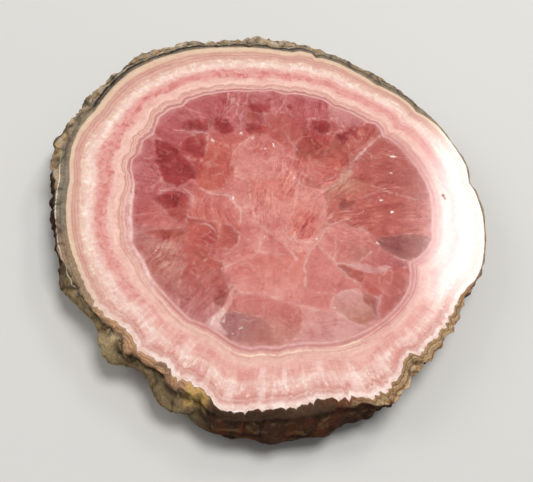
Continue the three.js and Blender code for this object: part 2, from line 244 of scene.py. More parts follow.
# The crystals that show below the polish, from the lowest to the uppermost: softness of the edge, tone at
# the start, tone at the end, direction from start to end, and the outline
CRYSTALS = [
    (0.5, "blush", "coral", 100, [(-4, 5.2), (1.8, 8.8), (4.4, 8), (5.6, 2), (4.6, -3), (0.2, -6),
     (-3.6, -3)]),
    (0.5, "blush", "salmon", 120, [(-9, 4.6), (-4, 4.4), (-3.8, -2.6), (-5.6, -3), (-9, -0.6)]),
    (0.4, "ember", "salmon", 250, [(4.6, 14.2), (10.4, 15), (14.8, 11.4), (11.6, 6.4), (6.6, 9.4),
     (4.4, 10)]),
    (0.4, "salmon", "blush", 240, [(0.6, -7.4), (5, -9.6), (9.4, -13), (5.6, -13.2), (1, -12.2)]),
    (0.4, "rose", "brick", 300, [(20, 22.5), (22.6, 24.6), (26, 22.8), (28.8, 20.2), (27, 18.4), (24, 17.6),
     (21.5, 18.4), (19.8, 19.6)]),
    (0.5, "salmon", "rose", 20, [(24.5, 9.6), (28, 12.4), (31.6, 14.4), (34, 11), (34.6, 7.6), (31, 6.6),
     (27, 7)]),
    (0.3, "blush", "coral", 250, [(7, 5.6), (11.4, 6.2), (12.4, 0), (11.4, -5.4), (8.4, -7.6), (5.8, -3)]),
    (0.4, "brick", "brick", 60, [(16.3, 11.5), (16.2, 15), (18, 18.5), (19.6, 21), (22.3, 25.3), (25, 25),
     (28.5, 22), (31, 18), (33.6, 13.5), (34.6, 9), (29, 8.3), (24, 9.6), (20, 10.2)]),
    (0.5, "ember", "brick", 150, [(12.7, -2.5), (15, 2.4), (18.5, 5.5), (24, 9.4), (30, 8.2), (34.6, 8.8),
     (35, 3), (34.4, 0), (29.8, -0.7), (24, -3.4), (20, -1.8), (16.5, -1.6)]),
    (0.3, "brick", "brick", 90, [(15.2, 17.4), (14.9, 21.5), (15.6, 25), (18.5, 27.3), (21.4, 28),
     (22.1, 25.6), (20, 22.6), (18.6, 20.2), (17.3, 17.3)]),
    (0.5, "crimson", "rose", 90, [(-0.6, 33), (6, 33), (9.8, 32), (10.6, 28.5), (9.8, 26.2), (6.2, 25.6),
     (3, 24.3), (0.6, 25.6), (-0.9, 28.5)]),
    (0.7, "haze", "lilac", 300, [(9.8, 32), (14.5, 31), (18.8, 28.8), (17.2, 26.6), (14.4, 25.6),
     (11.6, 25.2), (10.3, 27.6)]),
    (0.6, "red", "brown", 270, [(4.2, 13.4), (9.8, 13.6), (10.6, 17), (11.2, 20.5), (9.6, 21.7),
     (6.6, 22), (5.2, 19.5), (3.8, 16.5)]),
    (0.7, "brown", "ember", 300, [(10.2, 12.6), (14.8, 12.4), (15.6, 14.8), (15.2, 17.6), (14.2, 19.6),
     (11.4, 20), (10.8, 17)]),
    (0.4, "salmon", "blush", 270, [(-9.3, 9.8), (-7.9, 13.9), (-5.3, 17.4), (-2.5, 17.6), (1.2, 14.8),
     (3.4, 12), (2.4, 7.6), (-2, 4.8), (-7, 4.9)]),
    (0.5, "ember", "ember", 200, [(-15.8, 1.8), (-15.6, 4.6), (-14.6, 8.6), (-14.9, 12.6), (-13, 12.8),
     (-10.6, 12.3), (-9.2, 9.6), (-8.8, 5), (-9.5, 0.5), (-13, -0.6)]),
    (0.4, "salmon", "ember", 250, [(-15, -0.6), (-9.2, -1), (-5.2, -3.2), (-3.6, -8.5), (-6, -10.5),
     (-8.6, -8.8), (-11, -8.5), (-14.4, -9), (-14.6, -4.4)]),
    (0.4, "rose", "salmon", 340, [(-26.8, -4), (-22.4, -5.2), (-19.4, -7.6), (-17, -9.1), (-15.1, -10.4),
     (-16, -11.2), (-19.4, -12.4), (-25, -12.4)]),
    (0.4, "mauve", "taupe", 320, [(-24.8, -12.4), (-22, -12.8), (-19.8, -14.2), (-17, -14.8),
     (-14.8, -15.4), (-14.6, -18.6), (-17, -20.6), (-20.8, -20), (-24, -16)]),
    (0.5, "taupe", "mauve", 290, [(-20.8, -20), (-17, -20.6), (-14.6, -18.6), (-12.2, -18.8),
     (-12.6, -22), (-10.6, -29.4), (-14.6, -27)]),
    (0.4, "brick", "mauve", 270, [(-12.2, -18.8), (-8.6, -17), (-5.6, -17), (-4.6, -19.6), (-3.2, -21.6),
     (-5, -25), (-3.8, -27.2), (-6.2, -30.8), (-9, -30.8), (-11, -29.2), (-12.6, -23)]),
    (0.5, "coral", "blush", 270, [(-1.6, -12.6), (4.8, -12.8), (9.9, -10.4), (10.6, -16), (10.4, -22),
     (5, -21.8), (0, -22.4), (-3, -21.4), (-4.6, -17)]),
    (0.25, "salmon", "salmon", 270, [(11, -7.8), (10, -10.5), (10.6, -16), (10.4, -22.6), (16, -22.6),
     (16.4, -18.8), (21.2, -15.8), (18, -14), (15.6, -11.4)]),
    (0.5, "salmon", "taupe", 270, [(0, -22.4), (5, -21.8), (10.4, -23.4), (12, -27), (9.6, -31),
     (4, -26.8), (-1.4, -26.4), (-2.6, -24)]),
    (0.6, "haze", "haze", 60, [(10.4, -30.8), (12, -27.4), (15, -26.8), (20, -25.2), (25, -24),
     (22, -27), (17, -29.4), (13, -30.6)]),
    (0.25, "haze", "gold", 300, [(15.6, -18.8), (20, -16.2), (21.6, -17.6), (24.6, -19.6), (25.1, -22.4),
     (23, -24), (20, -23.4), (16.8, -21.8)]),
    (0.3, "blush", "salmon", 300, [(12.7, -4.8), (14.6, -2.6), (17, -1.5), (20.4, -1.8), (22.4, -2.8),
     (24.2, -4.6), (23, -5.6), (20, -5.6), (15.4, -6), (13.6, -5)]),
    (0.3, "salmon", "taupe", 0, [(15.5, -6.2), (19, -6), (22.6, -6.6), (21.6, -8.6), (20.2, -10.6),
     (18.8, -11.4), (15.8, -11)]),
    (0.3, "salmon", "crimson", 0, [(22.8, -6.4), (25, -6.3), (28.6, -7.4), (30.4, -8.6), (27.2, -9.6),
     (24, -10.6), (20.6, -10.8), (21.8, -8.4)]),
    (0.3, "ember", "brick", 290, [(27.4, -9.6), (30.4, -8.6), (31.6, -11), (31.2, -15.5), (29.4, -19.4),
     (26.2, -21.6), (25.3, -17.4), (26.4, -13)]),
    (0.3, "salmon", "ember", 250, [(21.8, -12.2), (24.6, -11.9), (27.3, -10), (26.2, -13.4), (25, -17),
     (22.6, -16.6), (21.6, -14.6)]),
    (0.3, "ember", "salmon", 270, [(24.6, -12.6), (27.3, -10.3), (26.9, -13.6), (25.6, -17)]),
    (0.3, "umber", "brown", 0, [(23.5, -3.3), (27, -1.8), (30, -0.5), (34, 0.2), (34.8, -3), (33.4, -5.4),
     (30.7, -7.4), (28, -6.8), (25, -5.5), (24.3, -4.8)]),
    (0.3, "brown", "brick", 340, [(15.8, -11.3), (19.5, -12), (21.8, -12.2), (21.5, -14.6), (19, -14.2),
     (17, -13)]),
    (0.25, "brown", "umber", 290, [(22, -17), (24.5, -17.3), (25.1, -19), (25.4, -22), (24.3, -19.8),
     (22, -18.5)]),
    (0.2, "haze", "haze", 0, [(19.3, -11), (21.5, -10.6), (24, -10.3), (26.1, -9.4), (27.3, -9.5),
     (26.3, -10.6), (24.1, -11.6), (22, -12), (19.9, -11.8)]),
    (0.3, "grey", "taupe", 0, [(-3, -28.2), (-1.6, -26.8), (1.2, -27), (4, -26.6), (6.4, -28.4),
     (9, -30.8), (5.6, -33.4), (0.8, -34), (-2.8, -31.8)]),
    (0.3, "white", "blush", 90, [(-2.8, -22.2), (-2.2, -24.6), (-2.6, -27), (-3.2, -29.4), (-2.4, -31.6),
     (-5.4, -31.2), (-5, -28.8), (-3.6, -26.8), (-3.6, -24.6)]),
    (0.6, "umber", "brown", 90, [(-2.5, -21.3), (-3.3, -23.8), (-3.6, -26.2), (-4.8, -27.2), (-5.2, -25.2),
     (-4.2, -23)]),
    (0.6, "deep", "brick", 290, [(-20.3, -2.6), (-18, -2.1), (-16, -2.7), (-15.1, -4.6), (-14.6, -8),
     (-15, -9.7), (-17, -9), (-19.5, -7.5), (-22.5, -5.3), (-21, -3.5)]),
    (0.5, "brown", "brick", 220, [(-21.6, -13.4), (-19.5, -12.5), (-16, -11.3), (-14.8, -10.8),
     (-14.3, -13.6), (-15.6, -15), (-19, -14.4)]),
    (0.3, "ember", "red", 350, [(-13.7, -10), (-11.1, -8.9), (-8.9, -9.1), (-7.7, -10.8), (-7.9, -12.4),
     (-9.8, -13.5), (-12.4, -13.8), (-13.9, -11.9)]),
    (0.35, "ember", "brick", 350, [(-8.2, -8.2), (-5.6, -7.8), (-3.8, -9.7), (-4, -12), (-5.5, -13.5),
     (-7.4, -13.5), (-7.7, -12.3), (-7.5, -10.6)]),
    (0.6, "brick", "brick", 300, [(-14, -14), (-10.6, -13.8), (-8.4, -15), (-9.6, -18.4), (-12.6, -18.6)]),
    (0.6, "deep", "deep", 280, [(-25.6, 9.6), (-23, 9.8), (-22, 9.2), (-20, 8.6), (-18.7, 7), (-16.9, 5.4),
     (-15.9, 3.5), (-15.6, 2), (-17.4, 0), (-18.5, -1), (-21.5, -0.5), (-23, 2), (-24.3, 4.5)]),
    (0.3, "rose", "lilac", 180, [(-28.6, 8), (-27, 9.8), (-25.6, 9.6), (-24.8, 7), (-24.5, 4.6), (-27, 4.6),
     (-28.6, 6.2)]),
    (0.5, "lilac", "rose", 0, [(-29.4, 4.8), (-25, 4.2), (-23.2, 2), (-22, -0.6), (-24, -3.6),
     (-27, -3.4), (-28.8, 0)]),
    (0.6, "red", "deep", 230, [(-17.3, 15), (-15.7, 14.2), (-15.2, 11), (-14.6, 8.8), (-15.8, 6.6),
     (-18, 7.6), (-19.4, 9), (-20, 11)]),
    (0.4, "rose", "crimson", 0, [(-26.8, 13.2), (-23, 13.4), (-19.5, 13.8), (-18, 14.6), (-20.2, 11),
     (-20.6, 9.2), (-22.4, 9.8), (-26, 10.4)]),
    (0.35, "lilac", "crimson", 300, [(-25.6, 20), (-22.3, 20.2), (-20.5, 18.4), (-19.4, 16.5),
     (-18.8, 15.2), (-20, 14.1), (-23, 13.9), (-26.8, 13.8)]),
    (0.6, "wine", "deep", 60, [(-20.4, 17.2), (-18.6, 17.4), (-18.2, 15.2), (-19.4, 14.1), (-20.6, 14.6)]),
    (0.6, "deep", "red", 60, [(-18.3, 17.4), (-16.6, 18.5), (-15.5, 18), (-15.4, 15.6), (-16.3, 15),
     (-18.2, 15.1)]),
    (0.4, "rose", "crimson", 0, [(-22.4, 22.6), (-20.5, 24.4), (-18, 26), (-16, 27.4), (-14.5, 27.6),
     (-13, 27.4), (-12.6, 25), (-13, 22.5), (-14, 20.8), (-16, 20.3), (-19, 20.5), (-21.5, 20.7)]),
    (0.35, "rose", "crimson", 300, [(-12.1, 28.6), (-9.4, 29.8), (-9.2, 26.4), (-10.1, 24.2), (-11.9, 25)]),
    (0.6, "wine", "deep", 320, [(-15.3, 18.2), (-14.6, 19.8), (-12, 20), (-10.3, 18.2), (-9.9, 16.8),
     (-11, 16.2), (-12, 15.2), (-13, 15.4), (-14.2, 16.2), (-15, 16.8)]),
    (0.35, "rose", "lilac", 90, [(-9, 27), (-8.6, 30.4), (-6.5, 31), (-4.4, 31.2), (-3.4, 29.8),
     (-3.8, 27.6), (-5, 26.6), (-6.7, 26.5), (-8, 26.8)]),
    (0.6, "deep", "deep", 20, [(-9.2, 25.3), (-8.7, 27), (-7, 26.4), (-5.2, 26.7), (-3.8, 28.8),
     (-3.5, 26.5), (-4.4, 24.5), (-5.8, 23.8), (-7.5, 23.9), (-8.6, 24.3)]),
    (0.3, "brown", "rose", 0, [(-8.5, 20.9), (-8, 23.2), (-6.5, 23.7), (-5.2, 23.3), (-4, 22.4),
     (-3.2, 21.2), (-4.5, 20.8), (-6.5, 20.6)]),
    (0.6, "deep", "red", 10, [(-8, 19.6), (-6.8, 20.1), (-4.5, 20.4), (-3, 20.2), (-3.1, 18.4),
     (-4.6, 18), (-6, 17.2), (-7.8, 17.8)]),
    (0.5, "rose", "crimson", 0, [(-3.2, 31.6), (-1.2, 32.2), (-0.8, 28.4), (-0.2, 25.6), (-2.6, 24.6),
     (-3.4, 27)]),
    (0.6, "wine", "wine", 30, [(5.6, 23), (5.9, 25), (8, 25.5), (9.5, 25), (10.2, 22.6), (9, 21.6), (7, 22),
     (6.2, 22.2)]),
    (0.6, "wine", "wine", 90, [(11.6, 21.5), (12.3, 23.2), (13.2, 23), (13.8, 21.3), (12.8, 20.3),
     (11.8, 20.6)]),
    (0.8, "wine", "red", 330, [(12.8, 22.9), (14.5, 24.8), (16, 24.5), (17.2, 22.8), (16.5, 22.1),
     (14.5, 22.8), (13.6, 22.2)]),
    (0.6, "red", "deep", 270, [(0, 28.6), (-0.4, 27.4), (0.6, 27), (1.2, 27.8), (0.8, 28.6)]),
    (0.6, "umber", "brown", 60, [(15, 2.4), (15.3, 4.6), (17.6, 5.2), (18.6, 4), (17.6, 2.4), (16, 1.8)]),
    (0.6, "deep", "brown", 300, [(17.8, 17.2), (18.6, 18.6), (19.8, 18.4), (19.8, 16.6), (18.8, 16)]),
]

# Crystals whose first tone is one of these have hardly any milky veils
CLEAR_TONES = ("wine", "deep", "red", "brown", "umber")

# Pale lines where two crystals meet: strength, how wide, and the line
SEAMS = [
    (0.6, 0.5, [(22.2, 25.6), (20.4, 22.6), (19, 20.6), (17.8, 18.2), (16.3, 15.4)]),
    (0.3, 0.5, [(16.3, 15.4), (15.8, 12.4), (15.2, 9.6)]),
    (0.55, 0.35, [(-3.1, -22.2), (-4.6, -20.2), (-5.4, -18.4)]),
    (0.4, 0.3, [(-5.2, -18), (-2.4, -15.6), (0.2, -13.2)]),
    (0.35, 0.3, [(-8.6, -22.4), (-7.6, -20.6), (-5.6, -19.4)]),
    (0.5, 0.3, [(4.8, -7.6), (8, -8.2), (11, -7.4), (11.6, -6.2)]),
    (0.6, 0.35, [(15.2, -6), (15.4, -8.4), (15.6, -11.2)]),
    (0.5, 0.35, [(5, -9.6), (6.6, -11), (8.4, -12.6)]),
    (0.5, 0.4, [(17.4, 0.2), (13.7, -2.9), (11.3, -7.7), (10.4, -10.4), (10.3, -14.3), (10.4, -17.4),
     (11.6, -19.3)]),
    (0.5, 0.35, [(11.6, -7.6), (13.9, -9.5), (15.8, -11.4), (18.4, -13.6), (21.2, -15.8)]),
    (0.45, 0.35, [(11.6, -19.3), (16.3, -18.5), (19.4, -17), (22.3, -17.8)]),
    (0.5, 0.4, [(-7.7, -1.1), (-4.8, -3.6), (-2.1, -5.4), (0.9, -7.1)]),
    (0.4, 0.35, [(0.9, -7.1), (5.3, -10), (8.7, -12.4)]),
    (0.45, 0.4, [(-11.9, -0.8), (-6.8, -0.7), (-5.7, -3.4)]),
    (0.5, 0.3, [(0, -22.5), (4, -21.9), (8, -22.4), (12, -23.2), (16, -22.6)]),
    (0.35, 0.3, [(16.8, -22), (20, -23.6), (23, -24.2)]),
    (0.5, 0.3, [(-14.6, -3.2), (-14.4, -4.8), (-13.9, -5.2)]),
    (0.4, 0.3, [(-14.6, -7.6), (-14.6, -9.8), (-14.9, -11.4)]),
    (0.3, 0.6, [(-14.2, -8.1), (-11.7, -8), (-8.5, -7.6), (-5.9, -7.5), (-3.7, -9.6), (-3.6, -11.9),
     (-5.5, -15)]),
    (0.25, 0.5, [(-12.4, -9.3), (-10.1, -8.7), (-8.4, -9.6), (-7.6, -11.2)]),
    (0.4, 0.3, [(-9.6, 0.1), (-7.4, -1.2), (-5, -3.2), (-3.8, -6.4)]),
    (0.35, 0.3, [(-9.3, 9.8), (-8, 13.6), (-5.6, 17.2), (-3, 17.8)]),
    (0.3, 0.3, [(-6.6, 23.8), (-4.6, 22.8), (-3, 21)]),
    (0.35, 0.3, [(-16, 18.4), (-15.4, 15.8), (-15.2, 13.4), (-14.7, 10)]),
    (0.35, 0.3, [(-20, 13.4), (-18.4, 13.9), (-16.6, 15.1)]),
    (0.3, 0.3, [(-19.6, 12.4), (-18.2, 13.2), (-16.4, 15)]),
    (0.5, 0.3, [(-17.2, -1), (-15.6, -2.1), (-14.9, -2.9)]),
    (0.35, 0.3, [(-21.6, -2.8), (-19, -2.4)]),
    (0.4, 0.4, [(-20, -12.4), (-17.6, -11.7), (-15.6, -11)]),
    (0.5, 0.35, [(23.2, -4.5), (24.4, -4.9), (27, -6.4), (30, -7.5)]),
    (0.5, 0.35, [(20.6, -9.8), (22, -8.4), (22.8, -6.8)]),
    (0.65, 0.35, [(24.2, -17.2), (25.1, -17.2), (25.3, -20), (25.6, -22.4), (26.1, -23.6)]),
    (0.5, 0.3, [(12, -23.7), (15, -22.9), (17.9, -22.3), (20.5, -23.6), (22.9, -24.4)]),
    (0.6, 0.35, [(15.4, -11.5), (17, -11.4), (19.6, -11.3)]),
    (0.3, 0.5, [(-11.2, 28.4), (-11, 24.4), (-10.2, 21.6)]),
    (0.3, 0.4, [(-12.3, 26.4), (-12.1, 22.4), (-12.4, 20.8)]),
    (0.3, 0.5, [(-2.2, 24.6), (-1, 28.2), (-1.6, 31.6)]),
    (0.3, 0.5, [(-9.4, 23.4), (-9.2, 20), (-8.9, 17.6)]),
    (0.35, 0.35, [(0.8, 19.6), (2.4, 17.2), (4.4, 15)]),
    (0.35, 0.4, [(10, 4), (12.4, 7), (14.6, 9.4), (16.6, 12.2)]),
    (0.3, 0.3, [(13.6, 10.4), (15.2, 12), (16.4, 12.6)]),
    (0.3, 0.3, [(19, -1.6), (23, -3), (25.6, -4)]),
    (0.3, 0.4, [(0.6, -1.6), (-1.6, -5), (-0.2, -8), (0.8, -12), (-0.6, -14.6)]),
    (0.3, 0.3, [(3.6, -4), (5, -6.6), (7.6, -8)]),
    (0.3, 0.5, [(12.2, 28.6), (11.4, 26.4), (11.8, 25.2)]),
    (0.3, 0.3, [(11.6, -5), (11.2, -1.6), (12.4, 1.4), (12.6, 4)]),
]

# Dark hair cracks: strength, how wide, and the line
CRACKS = [
    (0.5, 0.25, [(-24.8, 2.8), (-24.2, 1.8), (-23.2, 1.2), (-22.6, 0.4)]),
    (0.35, 0.25, [(-24.4, 13.5), (-21.6, 13.3), (-19.8, 13.9)]),
    (0.35, 0.25, [(-11.8, 25.6), (-12.4, 23.4), (-11.9, 20.8)]),
    (0.4, 0.3, [(2.4, 22.4), (4.2, 23.2), (5.8, 24)]),
    (0.3, 0.3, [(-10.2, 12.8), (-9.4, 10.4), (-9.3, 9)]),
    (0.3, 0.3, [(-14.4, -9), (-11.6, -8.3), (-9.2, -8.6), (-8.1, -10.6)]),
]

# Painted highlights, small bright glints off cleavage planes below the polish: x, y, length, width,
# direction, strength
GLINTS = [
    (25, 19.3, 2.0, 0.7, 15, 0.85), (25, 14.5, 1.0, 0.5, 10, 0.7), (21.7, 11.5, 0.5, 0.5, 0, 0.7),
    (24, 9.8, 0.9, 0.5, 20, 0.6), (23.5, 6.5, 1.0, 0.6, 10, 0.85), (26, 4, 1.1, 0.6, 60, 1),
    (-8.5, 16.7, 1.1, 0.7, 60, 0.8), (-5.8, 16.1, 1.0, 0.5, 70, 0.8), (-1.1, 15.4, 1.5, 0.6, 120, 0.8),
    (-14, 13, 2.0, 0.7, 118, 0.8), (-6.7, -1.0, 1.1, 0.5, 100, 0.9), (11.5, -6.7, 0.9, 0.4, 100, 0.9),
    (13.5, -4.5, 0.6, 0.4, 60, 0.8), (23.7, -4.6, 1.2, 0.5, 150, 0.8), (-14, -4.2, 0.5, 0.4, 40, 0.7),
    (1.2, -8.8, 0.6, 0.5, 100, 0.7), (17, -21.6, 1.1, 0.9, 20, 0.45), (-2.9, -29.2, 1.8, 0.8, 80, 0.6),
    (-0.8, -31.4, 1.2, 0.6, 100, 0.5), (-2.6, 13.8, 2.0, 0.9, 20, 0.5),
    (-3.4, 13.4, 1.2, 0.9, 40, 0.45), (0.4, 24, 0.6, 0.5, 120, 0.6), (1.2, 16.8, 0.8, 0.6, 90, 0.5),
    (14.6, 11.2, 1.6, 0.4, 40, 0.5), (0.5, -30, 1.5, 0.7, 60, 0.55), (-18.5, -17, 1.8, 0.7, 65, 0.4),
    (-13, -20, 1.3, 0.8, 30, 0.35), (4.2, -17.4, 1.6, 0.3, 10, 0.35), (-19.6, 19.7, 0.7, 0.5, 90, 0.4),
]

# Patches of fine parallel fibres in the crystals: x, y, reach along and across them, direction, curve
# and strength
FIBRES = [
    (4, 8, 9, 5, 86, 0, 0.8), (0, 0, 7, 4, 101, 0, 0.8), (-9, -7, 9, 6, 125, 0.06, 0.45),
    (9, -3, 8, 4, 74, 0, 0.6), (14, 9, 8, 4, 52, 0, 1.0), (20.5, 2, 8, 4, 28, 0, 1.0),
    (28, 4, 7, 5, 20, 0, 0.7), (24, 10, 6, 3, 14, 0, 0.6), (-12.5, 24, 5, 3, 96, 0, 1.0),
    (-17.5, 13, 4, 3, 40, 0, 0.35), (-3, 13.5, 4, 3, 62, 0, 0.5), (7, 19, 6, 5, 82, 0, 0.5),
    (17.5, 23, 5, 3, 76, 0, 0.7), (-17, -17, 5, 3, 78, 0, 0.7), (-2, -15, 6, 3, 52, 0.04, 0.5),
    (4, -19, 7, 4, 92, 0, 0.2), (14, -13, 8, 4, 74, 0, 0.25), (-11, 5, 6, 5, 106, 0, 0.35),
    (-21, 4, 6, 4, 112, 0, 0.2), (15, -26, 8, 3, 18, 0, 0.3), (24, 18, 6, 5, 8, 0, 0.5),
    (-7, -24, 7, 4, 60, 0, 0.4), (6, 28, 5, 4, 96, 0, 0.5),
]

# Small dull spots in the polish: x, y and reach
SPOTS = [
    (36.5, 11.2, 0.5), (36.9, 10.6, 0.35), (-26.4, -1.6, 0.35), (-25.2, -0.6, 0.3), (-24.4, -2.4, 0.35),
    (-22.8, -1.2, 0.3), (-23.4, -3, 0.25), (-25.8, -2.9, 0.25), (-24, 0.2, 0.25), (-22.2, -2.6, 0.25),
    (-2.3, 12.8, 0.3), (-1.6, 12.4, 0.25), (-2.6, 12, 0.2), (35.4, 16, 0.2), (30.6, 21.6, 0.2),
]


def tone(name, description, red, green, blue):
    """A colour setting, given as 0 to 255 display values."""
    return FloatVectorProperty(
        name=name, description=description, default=(red / 255, green / 255, blue / 255),
        subtype="COLOR_GAMMA", size=3, min=0, max=1,
    )


class StoneTones(bpy.types.PropertyGroup):
    """Colours of the stone."""

    wine: tone("Wine", "Darkest crystals", 140, 26, 34)
    deep: tone("Deep red", "Dark clear crystals", 156, 46, 48)
    red: tone("Red", "Clear crystals", 176, 66, 62)
    crimson: tone("Crimson", "Red crystals with a blue cast", 180, 78, 82)
    brick: tone("Brick", "Brown-red crystals", 182, 84, 74)
    ember: tone("Ember", "Orange-red crystals", 194, 90, 78)
    brown: tone("Brown", "Brown crystals", 166, 76, 62)
    umber: tone("Umber", "Shaded brown crystals", 148, 68, 64)
    rose: tone("Rose", "Rose crystals", 186, 92, 94)
    lilac: tone("Lilac", "Lilac crystals near the rings", 192, 106, 108)
    haze: tone("Haze", "Milky lilac veils", 216, 148, 142)
    mauve: tone("Mauve", "Greyed pink crystals", 182, 104, 102)
    taupe: tone("Taupe", "Greyed brown crystals", 192, 116, 104)
    grey: tone("Grey", "Grey crystals", 168, 104, 102)
    gold: tone("Gold", "Golden fibres", 190, 118, 98)
    coral: tone("Coral", "Warm pink crystals", 210, 112, 100)
    salmon: tone("Salmon", "Salmon crystals", 206, 114, 106)
    blush: tone("Blush", "Milky pink crystals", 218, 134, 124)
    milk: tone("Milk", "Milky veils", 230, 166, 156)
    white: tone("White", "White growth lines", 238, 196, 188)
    tan: tone("Tan", "Weathered crust", 196, 172, 138)
    ochre: tone("Ochre", "Rusty yellow grains of the crust", 190, 146, 86)
    chalk: tone("Chalk", "Pale grains of the crust", 214, 192, 172)
    rind: tone("Rind", "Tan layers of the crust", 214, 164, 124)
    gold_rind: tone("Gold rind", "Golden layers of the crust", 190, 154, 112)
    umber_rind: tone("Umber rind", "Brown lines between the layers of the crust", 112, 74, 48)
    olive: tone("Olive", "Mossy lumps of the crust", 188, 160, 112)
    # Dark brown of the wall: partly its own colour, partly painted shade of the front
    bark: tone("Bark", "Brown crust", 66, 44, 31)
    shale: tone("Shale", "Dark grey layers of the crust", 106, 94, 84)
    soot: tone("Soot", "Black layers of the crust", 50, 46, 46)
    slate: tone("Slate", "Grey layers of the crust", 140, 128, 110)
    rust: tone("Rust", "Iron stains", 116, 56, 34)


class StoneFinish(bpy.types.PropertyGroup):
    """Finish of the polish, the crust and the sawn face."""

    polish: FloatProperty(
        name="Polish", description="Roughness of the polished face", default=0.45, min=0, max=1,
        subtype="FACTOR",
    )
    coat: FloatProperty(
        name="Gloss", description="Roughness of the gloss on the polish", default=0.11, min=0, max=1,
        subtype="FACTOR",
    )
    roughness: FloatProperty(
        name="Crust", description="Roughness of the crust", default=0.85, min=0, max=1,
        subtype="FACTOR",
    )
    relief: FloatProperty(
        name="Relief", description="Depth of the small grain of the crust", default=0.00035, unit="LENGTH",
    )
    crumble: FloatProperty(
        name="Crumble", description="Depth of the broken crust", default=0.0003, unit="LENGTH",
    )


def linear(colour):
    """Display values made scene linear: the usual two-part curve."""
    value = np.asarray(colour, float)
    return np.where(value <= 0.04045, value / 12.92, ((value + 0.055) / 1.055) ** 2.4)


def named(name):
    """One of the stone's tones, scene linear."""
    return linear(getattr(bpy.context.scene.stone_tones, name))


def shade(red, green, blue):
    """A colour for a shader socket, from 0 to 255 display values."""
    return (*linear((red / 255, green / 255, blue / 255)), 1)


def round_curve(pairs, angle):
    """Value at an angle, straight between neighbouring pairs and closed after a full turn."""
    knots = np.array(pairs, float)
    return np.interp(angle, knots[:, 0], knots[:, 1], period=360)


def eased(value, low, high):
    """0 below low, 1 above high, with a smooth step between them."""
    part = np.clip((value - low) / (high - low), 0, 1)
    return part * part * (3 - 2 * part)


def lattice_noise(points, seed):
    """Smooth noise between -1 and 1: seeded random values on a lattice of step one, blended by a
    fifth-power curve along each axis."""
    size = 32
    values = np.random.default_rng(seed).uniform(-1, 1, (size, size, size))
    base = np.floor(points).astype(int)
    part = points - base
    blend = part ** 3 * (part * (part * 6 - 15) + 10)
    total = np.zeros(len(points))
    for corner in np.ndindex(2, 2, 2):
        weight = np.prod(np.where(corner, blend, 1 - blend), axis=1)
        i, j, k = ((base + corner) % size).T
        total += values[i, j, k] * weight
    return total


def layered_noise(points, size, octaves, seed):
    """Sum of lattice noises, each half as large and half as strong as the one before."""
    return sum(
        lattice_noise(points * 2 ** octave / size, seed + octave) / 2 ** octave for octave in range(octaves)
    )


def frame_wall():
    """Heights of the frame's wall rows, and the radius of each row at each step round."""
    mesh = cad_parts[NODE].data
    flat = np.empty(3 * len(mesh.vertices), np.float32)
    mesh.vertices.foreach_get("co", flat)
    x, y, z = (flat.reshape(-1, 3) / MM - (*RING_CENTRE, 0)).T
    outer = np.hypot(x, y) > ROW_GAP
    x, y, z = x[outer], y[outer], z[outer]
    level = np.sort(z)
    heights = level[np.append(True, np.diff(level) > ROW_GAP)]
    row = np.searchsorted(heights, z + ROW_GAP / 2) - 1
    step = np.round(np.degrees(np.arctan2(y, x)) * FRAME_STEPS / 360).astype(int) % FRAME_STEPS
    wall = np.zeros((len(heights), FRAME_STEPS))
    wall[row, step] = np.hypot(x, y)
    return heights, wall


def wall_radius(heights, wall, angle, height):
    """Radius of the frame's wall at a height and angle: a cubic through four neighbours round the wall,
    then a cubic up it whose slopes are those of the rows."""
    place = angle * FRAME_STEPS / 360
    first = np.floor(place).astype(int)
    part = place - first
    a, b, c, d = (wall[:, (first + shift) % FRAME_STEPS] for shift in (-1, 0, 1, 2))
    rows = b + part * ((c - a) / 2 + part * (a - 2.5 * b + 2 * c - d / 2
                                             + part * (1.5 * b - 1.5 * c + (d - a) / 2)))
    slope = np.gradient(rows, heights, axis=0)
    low = np.clip(np.searchsorted(heights, height, side="right") - 1, 0, len(heights) - 2)
    span = heights[low + 1] - heights[low]
    up = (height - heights[low]) / span
    column = np.arange(len(angle))
    start, end = rows[low, column], rows[low + 1, column]
    rise = end - start
    at_start, at_end = slope[low, column] * span, slope[low + 1, column] * span
    return start + up * at_start + up ** 2 * (3 * rise - 2 * at_start - at_end) \
        + up ** 3 * (at_start + at_end - 2 * rise)


def square_disc(cells):
    """A disc of radius one on a square net. The square ring at a distance from the middle becomes the
    circle of that radius, and its points keep even angles."""
    side = np.linspace(-1, 1, cells + 1)
    a, b = (grid.ravel() for grid in np.meshgrid(side, side, indexing="ij"))
    wide = np.abs(a) >= np.abs(b)
    radius = np.where(wide, a, b)
    other = np.where(wide, b, a)
    part = np.divide(other, radius, out=np.zeros_like(radius), where=radius != 0) * math.pi / 4
    turn = np.where(wide, part, math.pi / 2 - part)
    disc = np.stack([radius * np.cos(turn), radius * np.sin(turn)], 1)
    edge = np.flatnonzero(np.maximum(np.abs(a), np.abs(b)) > 1 - 0.5 / cells)
    border = edge[np.argsort((np.arctan2(disc[edge, 1], disc[edge, 0]) + 1e-6) % (2 * math.pi))]
    corner = np.arange((cells + 1) ** 2).reshape(cells + 1, cells + 1)
    quads = np.stack([corner[:-1, :-1], corner[1:, :-1], corner[1:, 1:], corner[:-1, 1:]], -1)
    return disc, border, quads.reshape(-1, 4)


def strip(inner, outer):
    """Faces between two rings of points with the same number of steps."""
    return np.stack([inner, outer, np.roll(outer, -1), np.roll(inner, -1)], 1)


def halving_strip(fine, coarse):
    """Faces from a ring to one with half its steps, five corners each."""
    ahead = np.roll(coarse, -1)
    return np.stack([fine[0::2], coarse, ahead, np.roll(fine, -2)[0::2], fine[1::2]], 1)


def heading(angle):
    """Unit vectors along an angle and square to it."""
    cos, sin = math.cos(math.radians(angle)), math.sin(math.radians(angle))
    return np.array([cos, sin]), np.array([-sin, cos])


